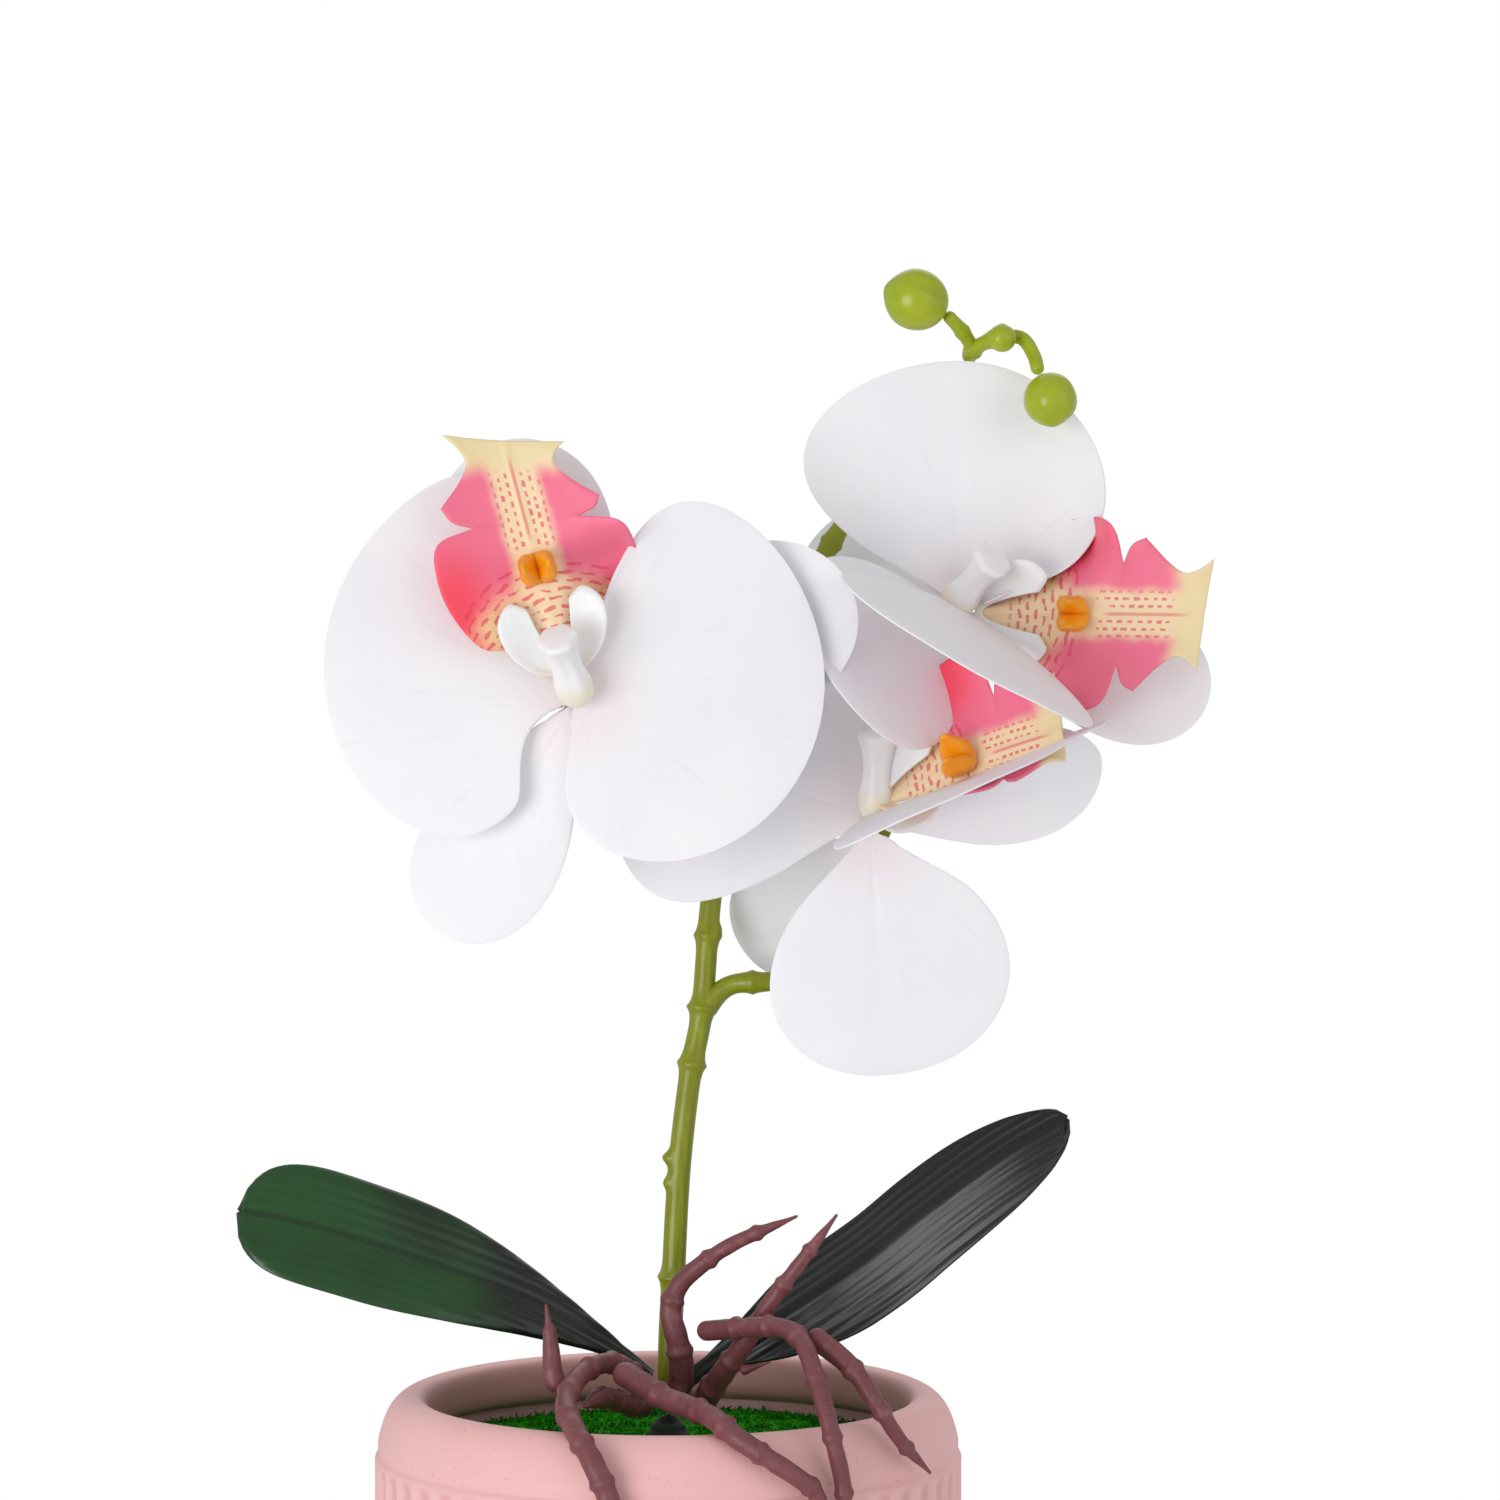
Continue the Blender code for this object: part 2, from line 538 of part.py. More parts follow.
def build_bloom(bloom, spec, materials):
    """All the pieces of one bloom about its middle."""
    marker = add_empty(f"{bloom}_middle", spec["centre"])
    axis = Vector(spec["axis"]).normalized()
    foam = materials["petal_foam"]
    for part, blade in spec["petals"].items():
        add_blade(bloom, part, blade, PETAL_GRID, marker, axis, foam)
    for part, blade in spec["sepals"].items():
        add_blade(bloom, part, blade, SEPAL_GRID, marker, axis, foam)
    add_lip(bloom, spec["lip"], marker, materials)
    calyx = add_object(f"{bloom}_calyx", *turned(CALYX_OUTLINE, 8), materials["stem_plastic"],
                       marker)
    tail = Vector(spec["tail"]).normalized()
    calyx.location = tail * CALYX_LEVEL * MM
    calyx.rotation_euler = tail.to_track_quat("Z", "Y").to_euler()
    pointing, tall, place = spec["column"]
    column = add_object(f"{bloom}_column", *turned(COLUMN_OUTLINE, 10),
                        materials["white_plastic"], marker)
    column.location = Vector(place) * MM
    column.rotation_euler = Vector(pointing).to_track_quat("Z", "Y").to_euler()
    column.scale = (1, 1, tall / COLUMN_OUTLINE[-1][1])


clear_scene()
finishes = make_materials()
build_pot(finishes)
build_stems(finishes)
build_buds(finishes)
build_roots(finishes)
build_leaves(finishes)
for bloom_name, bloom_spec in BLOOMS.items():
    build_bloom(bloom_name, bloom_spec, finishes)
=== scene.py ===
import math

import bpy
import numpy as np
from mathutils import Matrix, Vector


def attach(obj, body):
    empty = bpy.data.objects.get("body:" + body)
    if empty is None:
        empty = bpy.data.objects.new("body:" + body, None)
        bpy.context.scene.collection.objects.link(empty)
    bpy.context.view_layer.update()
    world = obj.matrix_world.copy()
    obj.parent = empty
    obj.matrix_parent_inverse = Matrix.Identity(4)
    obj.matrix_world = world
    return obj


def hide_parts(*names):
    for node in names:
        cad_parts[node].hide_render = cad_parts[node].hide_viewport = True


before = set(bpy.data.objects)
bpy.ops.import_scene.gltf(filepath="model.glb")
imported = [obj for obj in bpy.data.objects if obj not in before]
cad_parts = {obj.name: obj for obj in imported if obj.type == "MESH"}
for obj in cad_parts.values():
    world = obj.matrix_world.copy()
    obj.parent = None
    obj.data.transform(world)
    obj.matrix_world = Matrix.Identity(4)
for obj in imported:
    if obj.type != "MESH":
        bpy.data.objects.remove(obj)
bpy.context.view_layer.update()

# Looks of the artificial moth orchid: foam blooms, moulded stem and roots, leaves, moss and pot.
# Lengths are in millimetres until a surface becomes a mesh. +Z is up and the blooms face -Y.

MM = 0.001
POT_RADIUS = 58.9
FLUTES = 54
FLUTE_DEPTH = 0.85
LEDGE_LEVEL = 88.2
MOSS_TOP = 90.3
MOSS_FALL = 1.6
MOSS_HOLE = 5.4
MOSS_RADIUS = 52.4
TUFTS = 5200
SLEEVE_RADIUS = 4.15
KNUCKLE = 0.42
PETAL_THICK = 0.8
LIP_THICK = 0.7
LEAF_THICK = 1.3
VEIN_GAP = 2.3
# Distances from a bloom's centre: where a blade starts, where the lip's curl, crest and tip start,
# half the lip's stripe, how far in front the collar stands and how far behind the calyx
CLAW = 0.8
CURL_START = 22
CREST_START = 22.5
TIP_START = 28
STRIPE_HALF = 4.5
COLLAR_LIFT = 1.0
CALYX_LEVEL = 5.6
# Length that one unit of a flat map stands for
FLAT_SPAN = 120.0
FLOOR_RADIUS = 400
FLOOR_LEVEL = -0.4
CAMERA_AIM = (0.0164, 0, 0.23)
CAMERA_PITCH = 2.1
LENS = 120.0
SENSOR = 36.0

# Flower stem and its shoots, as the CAD solids run
STEM_ROUTE = [(0.3, 0, 101.6), (0.4, 0, 112), (1.1, 0, 126), (1.8, 0, 140), (2.8, 0, 152),
              (4.6, 1, 166), (6.8, 2, 178), (8.6, 4, 200), (12, 8, 220), (17, 11, 240),
              (24.5, 13, 256), (32, 13, 270), (42.5, 11, 286), (52.5, 8, 298), (59.5, 4, 307)]
LOWER_SHOOT = [(6.4, 2, 177), (12, 1.5, 182.5), (20, 0.5, 183.5), (33, 1.5, 184),
               (44, 2.5, 192), (47, 0.5, 204), (42.8, -4.8, 212)]
LEFT_SHOOT = [(9.2, 4.5, 203), (0, 3, 216), (-10, -2, 228), (-16.5, -14, 234.5),
              (-16.4, -31.8, 237.8)]
UPPER_SHOOT = [(19.5, 11.6, 246.5), (30, 14, 246), (44, 12.5, 247), (54, 6.3, 249.8),
               (58.3, 0, 253.5)]
BUD_MAIN = [(60.1, 3.6, 308), (61, 0, 310), (65, -4, 311.8), (70, -6, 312), (72.5, -8, 308.5),
            (73.3, -11, 304.8)]
BUD_SIDE = [(61, 0, 310), (58.5, -3, 313.5), (55.2, -6, 316.8)]
BUDS = {"bud_upper": ((49.2, -8, 319.4), 6.5, 6.1, (-0.9, 0.0, 0.35)),
        "bud_middle": ((66.2, -9.3, 311.8), 2.8, 2.8, (0.0, 0.0, 1.0)),
        "bud_lower": ((75.4, -15.5, 299.4), 5.4, 5.2, (0.1, -0.3, -1.0))}

# Roots: route, radius at the crown, radius at the tip
ROOTS = {
    "root_left_arch": ([(-3.9, -4, 101.5), (-8, -14, 108), (-12, -24, 110.6), (-16.6, -33, 109.6),
                        (-19, -43, 106), (-17.2, -53, 102.8), (-13.2, -59.6, 97),
                        (-10.2, -61, 90), (-9.6, -61.2, 82), (-9.8, -61.2, 76)], 1.6, 1.9),
    "root_left_spike": ([(-20.6, -27, 105.5), (-22.2, -26, 109), (-22.6, -25, 114),
                         (-23.6, -25, 122.5)], 1.9, 0.7),
    "root_left_bridge": ([(-4.6, -1, 98), (-8, -13, 100.5), (-12, -26, 104.2),
                          (-15.6, -37.5, 104.4)], 1.7, 1.6),
    "root_front": ([(-9.4, -29, 110), (-5, -34, 108.3), (0, -38.5, 106), (4.7, -43, 105),
                    (9.4, -49.5, 104), (14.4, -55.4, 101), (24, -57, 95), (28.6, -55.3, 91),
                    (30.2, -54.5, 85), (30.4, -54.4, 79)], 2.1, 1.3),
    "root_upper": ([(2.2, -6.2, 101.6), (2.8, -9, 107), (2.1, -10.5, 112.6), (0.6, -10.5, 118.6),
                    (1.8, -10.5, 123), (4.6, -10.5, 126.4), (13, -12, 132.4), (26, -13, 138.2)],
                   2.2, 0.8),
    "root_middle": ([(6.6, -3.4, 98.6), (9.2, -11, 104), (14.6, -17, 112.4), (21.3, -20.5, 123.2),
                     (28.1, -22, 132.4), (33.6, -22.5, 139.8)], 2.2, 0.8),
    "root_right_arch": ([(6.6, -14.5, 115.4), (15.4, -24.5, 117.6), (22, -32, 118.9),
                         (26.4, -38, 117), (29.6, -47, 109.5), (32.2, -52.2, 100.5),
                         (34.2, -51.4, 91), (34.6, -51.2, 82)], 1.7, 1.3),
    "root_right_fork": ([(27.8, -33.6, 118), (35.6, -38.5, 112.4), (40.6, -41.5, 105.8),
                         (45.4, -40.2, 98.2), (51.6, -34.4, 90.6)], 1.9, 0.8),
    "root_spur": ([(14.4, -21.4, 108.6), (17, -22, 109.4), (20.6, -22.6, 110.6)], 1.2, 0.4),
}

# Leaves: spine, across vectors at base and tip, half width, share of the length where the leaf
# is widest, fold, and how blunt its tip is
LEAVES = {
    "leaf_left": ([(-3.6, 1.5, 103.8), (-12, -1, 110.5), (-27, -6, 119.6), (-43, -10, 126.5),
                   (-62, -13, 133.5), (-76, -14, 137.5), (-84.6, -14, 139)],
                  ((0.1, 0.75, 0.65), (0.25, 0.45, 0.86)), 12.6, 0.7, 0.1, 5.0),
    "leaf_right": ([(4, 2.5, 103), (9, 2, 107), (26, -2, 118.6), (40, -5, 128.8), (51, -8, 138),
                    (66, -11, 149.5), (79, -12, 157.4)],
                   ((-0.5, 0.6, 0.6), (-0.55, 0.55, 0.62)), 11.0, 0.42, 0.4, 3.6),
}

# Blooms: blades as (along, facing, level, (length, side), (left, right, fullness, waist, lean),
# (cup, arch)), the lip as (along, facing, level, slide, scale, skew, (curl, tip), wings), each
# wing as (how far back, how wide), the column as (pointing, height, start)
BLOOMS = {
    "left_bloom": {
        "centre": (-17.2, -40, 241),
        "axis": (-0.1, -0.93, 0.36),
        "blades": {
            "petal_right": ((0.95, 0, 0.31), (0, -0.97, 0.1), 0.6,
                            (48.5, 4), (56, 120, 3, 0.8, 0.3), (0.04, -0.04)),
            "petal_left": ((-0.72, 0.05, 0.69), (0, -0.97, 0.2), 0,
                           (50.6, 4), (110, 31, 4, 0.8, -0.22), (-0.06, -0.08)),
            "sepal_lower": ((-0.49, 0.05, -0.87), (-0.1, -0.97, 0.1), -1.2,
                            (51.5, 4), (31, 31, 2, 1, 0), (-0.1, 0.05)),
            "sepal_upper": ((-0.29, 0.2, 0.93), (0, -0.97, 0.1), -2.3,
                            (54, 4), (36, 36, 2, 1, 0), (-0.1, 0)),
            "sepal_right": ((0.92, 0.03, 0.39), (0, -0.97, 0.1), -3.4,
                            (57.5, 4), (33, 33, 2, 1, 0), (-0.1, 0)),
        },
        "tail": (0.1, 0.93, -0.36),
        "lip": ((-0.26, -0.05, 0.96), (0, -0.98, 0),
                1.8, 4, 1, -0.35, (0, 1), ((0, 1), (7.5, 1))),
        "column": ((-0.24, -0.6, 0.76), 14.5, (0.4, -4.8, 1.6)),
    },
    "upper_bloom": {
        "centre": (59, -8, 257.7),
        "axis": (0.1, -0.88, 0.45),
        "blades": {
            "petal_upper": ((-0.09, 0, 0.99), (0, -0.98, 0.1), 0,
                            (49.8, 4), (54, 77, 2.8, 0.8, 0.55), (-0.05, -0.05)),
            "petal_lower": ((0.15, -0.97, -0.17), (0.45, 0, 0.84), 0.6,
                            (51, 3.4), (36, 56, 4, 0.8, 0), (-0.08, -0.12)),
            "sepal_left": ((-0.6, 0.69, 0.4), (-0.15, -0.8, 0.45), -2.3,
                           (47, 4), (33, 37, 2.2, 1, 0), (-0.06, -0.05)),
            "sepal_right": ((0.94, 0, -0.34), (0, -0.97, 0.1), -1.2,
                            (51.5, 4), (30, 30, 2, 1, 0), (-0.1, 0)),
            "sepal_lower": ((-0.57, -0.76, -0.28), (0.56, -0.66, 0.5), -3.4,
                            (44.5, 4), (46, 60, 2.6, 1, 0), (-0.1, 0)),
        },
        "tail": (-0.1, 0.88, -0.45),
        "lip": ((0.93, -0.35, -0.01), (-0.35, -0.93, 0),
                2.4, 1.2, 1, -0.15, (0, 1), ((11.5, 1), (0, 1))),
        "column": ((0.5, -0.6, 0.62), 14.5, (-2, -4.6, 1.8)),
    },
    "lower_bloom": {
        "centre": (40.1, -14, 217.1),
        "axis": (0, -0.45, 0.89),
        "blades": {
            "petal_left": ((-0.94, -0.05, 0.34), (0.1, -0.95, 0.3), 0,
                           (51.5, 4), (52, 76, 2.6, 0.8, 0), (-0.05, -0.05)),
            "petal_right": ((0.65, -0.707, 0.276), (-0.39, 0, 0.92), 0.6,
                            (50.5, 4), (62, 62, 6, 0.8, 0), (-0.05, 0)),
            "sepal_lower": ((0.06, 0, -1), (0, -0.97, 0.1), -2.3,
                            (49, 4), (60, 48, 2.6, 1, 0), (-0.1, 0)),
            "sepal_right": ((0.95, 0.1, 0.28), (0, -0.97, 0.2), -1.2,
                            (48, 4), (24, 31, 1.7, 1, 0), (-0.1, 0)),
            "sepal_left": ((-0.5, 0.6, -0.6), (-0.3, -0.7, -0.3), -3.4,
                           (45, 4), (34, 34, 2, 1, 0), (-0.1, 0)),
        },
        "tail": (0.25, 0.85, -0.45),
        "lip": ((0.76, -0.5, 0.38), (-0.3, -0.85, 0.5),
                3, 2.6, 1.05, 0, (0, 0.72), ((2, 1.2), (-3, 0.35))),
        "column": ((0.02, -0.12, 0.99), 15.5, (1.2, -3.8, 1.9)),
    },
}

# How narrow a blade starts at its claw, for its left and its right side
CLAW_SHARES = {("left_bloom", "petal_left"): (0.6, 0.95), ("left_bloom", "petal_right"): (1, 0.95),
               ("upper_bloom", "sepal_lower"): (1, 1), ("upper_bloom", "petal_lower"): (1, 1),
               ("lower_bloom", "petal_right"): (1, 1)}

# How far a blade's side lobe comes forward: the side (-1 left, 1 right) and the height
LOBE_LIFTS = {("left_bloom", "petal_right"): (-1, 1.5), ("upper_bloom", "petal_upper"): (1, 8.5)}

# Half outline of the lip (across, along), cut into smooth stretches between its points, and the
# matching stations down its middle; then the same for the collar
LIP_EDGE = [[(2.2, 3.5), (4.5, 6), (7, 8.5), (14, 10), (18, 17), (19, 24), (17.2, 29.6),
             (9.8, 31.6)],
            [(9.8, 31.6), (13.5, 33), (15, 35.5)],
            [(15, 35.5), (10.5, 39.6), (8.2, 43), (9, 45.8), (11, 48)]]
LIP_MIDDLE = [[3.5, 5.4, 7.4, 10, 15, 20.5, 27, 30.5], [30.5, 32.5, 34.5],
              [34.5, 38.5, 42, 45, 47.5]]
COLLAR_EDGE = [[(2.6, 2), (5.6, 3), (8.6, 6), (10.4, 10.5), (10, 14.6), (7.2, 17.2), (4.2, 15.6)]]
COLLAR_MIDDLE = [[2, 2.3, 2.6, 2.9, 3.1, 3.3, 3.5]]
LIP_FOLD = 0.012
LIP_ARCH = 0.003


# ---- surfaces

def unit(rows):
    """Each vector divided by its own length."""
    return rows / np.linalg.norm(rows, axis=-1, keepdims=True)


def curve_through(knots, per_span):
    """Catmull-Rom cubic: between two knots, half of the cubic that matches their chords."""
    knots = np.asarray(knots, float).reshape(len(knots), -1)
    ends = np.vstack([2 * knots[:1] - knots[1:2], knots, 2 * knots[-1:] - knots[-2:-1]])
    t = (np.arange(per_span) / per_span)[None, :, None]
    a, b, c, d = (ends[i:len(ends) - 3 + i, None, :] for i in range(4))
    spans = 0.5 * (2 * b + (c - a) * t + (2 * a - 5 * b + 4 * c - d) * t ** 2
                   + (3 * b - a - 3 * c + d) * t ** 3)
    return np.vstack([spans.reshape(-1, knots.shape[1]), knots[-1:]])


def even_steps(path, step):
    """The curve read again at equal distances along itself, and those distances."""
    run = np.concatenate([[0], np.cumsum(np.linalg.norm(np.diff(path, axis=0), axis=1))])
    marks = np.linspace(0, run[-1], int(run[-1] / step) + 2)
    return np.stack([np.interp(marks, run, axis) for axis in path.T], axis=1), marks


def grid_quads(rows, columns, wrap=False, first=0):
    """Corner numbers of a grid's quads, with the last column joined to the first if it wraps."""
    row = np.arange(rows - 1)[:, None] * columns + first
    column = np.arange(columns if wrap else columns - 1)[None, :]
    after = (column + 1) % columns
    quads = [row + column, row + after, row + columns + after, row + columns + column]
    return np.stack(quads, axis=-1).reshape(-1, 4)


def closed_skin(grid):
    """Points and faces of a grid wrapped round its columns, shut by a pole at both ends."""
    rows, columns = grid.shape[:2]
    points = np.vstack([grid.reshape(-1, 3), grid[0].mean(axis=0), grid[-1].mean(axis=0)])
    here = np.arange(columns)
    after = (here + 1) % columns
    low = np.stack([np.full(columns, rows * columns), after, here], axis=1)
    top = (rows - 1) * columns
    high = np.stack([np.full(columns, rows * columns + 1), top + here, top + after], axis=1)
    return points, grid_quads(rows, columns, wrap=True).tolist() + low.tolist() + high.tolist()


def sheet_shell(grid, thickness):
    """Points and faces of a sheet with a front and a back, each half the local thickness off it.

    The normal is the cross product of the grid's two directions; one strip closes the border.
    """
    normal = unit(np.cross(np.gradient(grid, axis=1), np.gradient(grid, axis=0)))
    lift = normal * thickness[..., None] / 2
    rows, columns = grid.shape[:2]
    count = rows * columns
    points = np.vstack([(grid + lift).reshape(-1, 3), (grid - lift).reshape(-1, 3)])
    number = np.arange(count).reshape(rows, columns)
    border = np.concatenate([number[0], number[1:, -1], number[-1, -2::-1], number[-2:0:-1, 0]])
    after = np.roll(border, -1)
    strip = np.stack([after, border, border + count, after + count], axis=1)
    back = grid_quads(rows, columns, first=count)[:, ::-1]
    return points, np.vstack([grid_quads(rows, columns), back, strip]).tolist()


def add_piece(name, shape, finish, nodes, flat=None):
    """Smooth-shaded piece from points in millimetres and faces, standing for its CAD nodes.

    flat gives each point its place on the flattened surface, kept as a UV map.
    """
    points, faces = shape
    mesh = bpy.data.meshes.new(name)
    mesh.from_pydata((points * MM).tolist(), [], faces)
    mesh.polygons.foreach_set("use_smooth", np.ones(len(mesh.polygons), bool))
    if flat is not None:
        corner = np.empty(len(mesh.loops), np.int32)
        mesh.loops.foreach_get("vertex_index", corner)
        layer = mesh.uv_layers.new(name="flat")
        layer.data.foreach_set("uv", flat[corner].astype(np.float32).ravel())
    mesh.materials.append(FINISHES[finish])
    piece = bpy.data.objects.new(name, mesh)
    bpy.context.scene.collection.objects.link(piece)
    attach(piece, "root")
    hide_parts(*nodes)
    return piece


def path_frames(path):
    """Two cross directions along a path, turned from its flattest direction."""
    heading = unit(np.gradient(path, axis=0))
    flattest = np.linalg.svd(heading)[2][2]
    side = unit(flattest - heading * (heading @ flattest)[:, None])
    return side, np.cross(heading, side)


def rod(route, radius_at, around, step):
    """Grid of a rod: centre line plus radius times the turning cross direction.

    radius_at(run, outward) gives the radius from the distance along and the outward direction.
    Both ends are rounded: the radius falls off there as a quarter ellipse.
    """
    path, run = even_steps(curve_through(route, 12), step)
    side, up = path_frames(path)
    turn = 2 * np.pi * np.arange(around) / around
    outward = (np.cos(turn)[None, :, None] * side[:, None]
               + np.sin(turn)[None, :, None] * up[:, None])
    radius = np.broadcast_to(radius_at(run[:, None], outward), outward.shape[:2]).copy()
    for far in (run[-1] - run, run):
        reach = np.minimum(far / np.maximum(radius.mean(axis=1), 0.3), 1)
        radius *= np.sqrt(1 - (1 - reach) ** 2)[:, None].clip(0.02)
    return path[:, None] + radius[..., None] * outward


def with_poles(flat):
    """Flat coordinates of a closed skin, its two poles taking their rows' middles."""
    return np.vstack([flat.reshape(-1, 2), flat[0].mean(axis=0), flat[-1].mean(axis=0)])


def merged(shapes):
    """Several shapes as one list of points and one of faces."""
    points, faces, start = [], [], 0
    for some_points, some_faces in shapes:
        points.append(some_points)
        faces += [[corner + start for corner in face] for face in some_faces]
        start += len(some_points)
    return np.vstack(points), faces


def bump(distance, width):
    """Bell curve: one at zero distance, falling off over the width."""
    return np.exp(-(distance / width) ** 2)


def ease(low, high, value):
    """Smooth step: 3 t squared minus 2 t cubed between the two limits."""
    t = np.clip((value - low) / (high - low), 0, 1)
    return t * t * (3 - 2 * t)


def wander(points, size, seed):
    """Gentle value between -1 and 1: the mean of six sines, each along its own direction."""
    phase = np.random.default_rng(seed).uniform(0, 6.28, (6, 4))
    total = 0
    for row in phase:
        spread = unit(np.cos(row[:3] * 3))
        total = total + np.sin(points @ spread * 6.28 / size * (0.7 + row[0] / 9) + row[3])
    return total / 6


def turned(profile, columns):
    """Grid of a profile of (radius, height) carried round the Z axis."""
    turn = 2 * np.pi * np.arange(columns) / columns
    radius, height = np.asarray(profile, float).T
    return np.stack(np.broadcast_arrays(radius[:, None] * np.cos(turn),
                                        radius[:, None] * np.sin(turn), height[:, None]), axis=-1)


def frame_of(along, facing):
    """Rows right, ahead, front: ahead is along, front the facing made square to it."""
    ahead = unit(np.array(along, float))
    front = np.array(facing, float)
    front = unit(front - ahead * (front @ ahead))
    return np.array([np.cross(ahead, front), ahead, front])


# ---- finishes

def linear(code):
    """Linear colour of an sRGB hex value."""
    parts = [int(code[i:i + 2], 16) / 255 for i in (1, 3, 5)]
    return (*[c / 12.92 if c <= 0.04045 else ((c + 0.055) / 1.055) ** 2.4 for c in parts], 1.0)


def add(tree, kind, settings=None, inputs=None):
    """One node with its settings, each input set to a value or linked from a socket."""
    node = tree.nodes.new("ShaderNode" + kind)
    for key, value in (settings or {}).items():
        setattr(node, key, value)
    for key, value in (inputs or {}).items():
        if isinstance(value, bpy.types.NodeSocket):
            tree.links.new(value, node.inputs[key])
        else:
            node.inputs[key].default_value = value
    return node


def calc(tree, operation, *values):
    """Result of a Math node on up to three values."""
    return add(tree, "Math", {"operation": operation}, dict(enumerate(values))).outputs[0]


def blend(tree, share, first, second):
    """Colour between two, each a hex value or a socket."""
    inputs = {0: share}
    for key, colour in ((6, first), (7, second)):
        inputs[key] = linear(colour) if isinstance(colour, str) else colour
    return add(tree, "Mix", {"data_type": "RGBA"}, inputs).outputs[2]


def step_between(tree, value, low, high):
    """Smooth step of a value between two limits, from 0 to 1."""
    settings = {"interpolation_type": "SMOOTHSTEP"}
    return add(tree, "MapRange", settings, {0: value, 1: low, 2: high}).outputs[0]


def noise(tree, vector, scale, detail=3.0, roughness=0.55):
    """Noise value; scale counts its waves in a unit of the vector."""
    inputs = {"Vector": vector, "Scale": scale, "Detail": detail, "Roughness": roughness}
    return add(tree, "TexNoise", None, inputs).outputs[0]


def product(tree, first, *others):
    """Product of several values."""
    for other in others:
        first = calc(tree, "MULTIPLY", first, other)
    return first


def tinted(tree, body, share, amount, colour):
    """Body colour mixed with another one, by the share times the amount."""
    return blend(tree, product(tree, share, amount), body, colour)


def pair(tree, across, along):
    """Vector of two values."""
    return add(tree, "CombineXYZ", None, {0: across, 1: along}).outputs[0]


def marks(tree, across, along, size, joint, offset, uneven):
    """Rows of short marks: what is left of a brick pattern once its joints are taken out."""
    inputs = {"Vector": pair(tree, across, along), "Scale": 1.0, "Brick Width": size[0],
              "Row Height": size[1], "Mortar Size": joint, "Mortar Smooth": 0.8}
    joints = add(tree, "TexBrick", {"offset": offset}, inputs).outputs[1]
    return step_between(tree, calc(tree, "ADD", joints, uneven), 0.9, 0.55)


def new_finish(name, roughness, **sockets):
    """Material whose Principled shader has its steady values on its own sockets, and its tree."""
    material = bpy.data.materials.new(name)
    material.use_nodes = True
    shader = material.node_tree.nodes["Principled BSDF"]
    shader.inputs["Roughness"].default_value = roughness
    for key, value in sockets.items():
        shader.inputs[key.replace("_", " ")].default_value = value
    return material, material.node_tree


def dressed(material, colour, height=None, depth_mm=0.0, strength=1.0):
    """The material with its colour and the bump of a height from 0 to 1, so many mm deep."""
    tree = material.node_tree
    shader = tree.nodes["Principled BSDF"]
    tree.links.new(colour, shader.inputs["Base Color"])
    if height is not None:
        inputs = {"Height": height, "Distance": depth_mm * MM, "Strength": strength}
        tree.links.new(add(tree, "Bump", None, inputs).outputs[0], shader.inputs["Normal"])
    return material


def place(tree):
    """Object coordinates in metres."""
    return add(tree, "TexCoord").outputs["Object"]


def flat_place(tree):
    """The flattened surface's two coordinates in millimetres: across and along."""
    uv = add(tree, "UVMap", {"uv_map": "flat"}).outputs[0]
    split = add(tree, "SeparateXYZ", None, {0: uv})
    across = calc(tree, "MULTIPLY_ADD", split.outputs[0], FLAT_SPAN, -FLAT_SPAN / 2)
    along = calc(tree, "MULTIPLY_ADD", split.outputs[1], FLAT_SPAN, -FLAT_SPAN / 2)
    return across, along


def polar(tree, across, along):
    """Turn from the middle line in radians, and distance from the claw in millimetres."""
    reach = add(tree, "VectorMath", {"operation": "LENGTH"},
                {0: pair(tree, across, along)}).outputs["Value"]
    return calc(tree, "ARCTAN2", across, along), reach


def petal_foam():
    """EVA foam sheet, heat-moulded and airbrushed white: soft satin skin that lets some light
    through, faint pressed veins about 2 mm apart that fan out from the claw, and a blush there."""
    material, tree = new_finish("moulded_eva_foam", 0.52, Subsurface_Weight=0.12,
                                Subsurface_Scale=0.002, Subsurface_Radius=(1.0, 0.85, 0.95))
    turn, reach = polar(tree, *flat_place(tree))
    lane = pair(tree, product(tree, turn, 9.0), product(tree, reach, 0.035))
    vein = noise(tree, lane, 1.6, 2.0, 0.5)
    spots = place(tree)
    body = blend(tree, noise(tree, spots, 45.0, 2.0), "#EFEDF4", "#FAF9FC")
    body = tinted(tree, body, step_between(tree, vein, 0.62, 0.75), 0.14, "#DDD9E4")
    body = tinted(tree, body, step_between(tree, reach, 17.0, 4.0), 0.5, "#F7E2E4")
    grain = noise(tree, spots, 900.0, 2.0)
    return dressed(material, body, calc(tree, "MULTIPLY_ADD", grain, 0.16, vein), 0.2, 0.5)


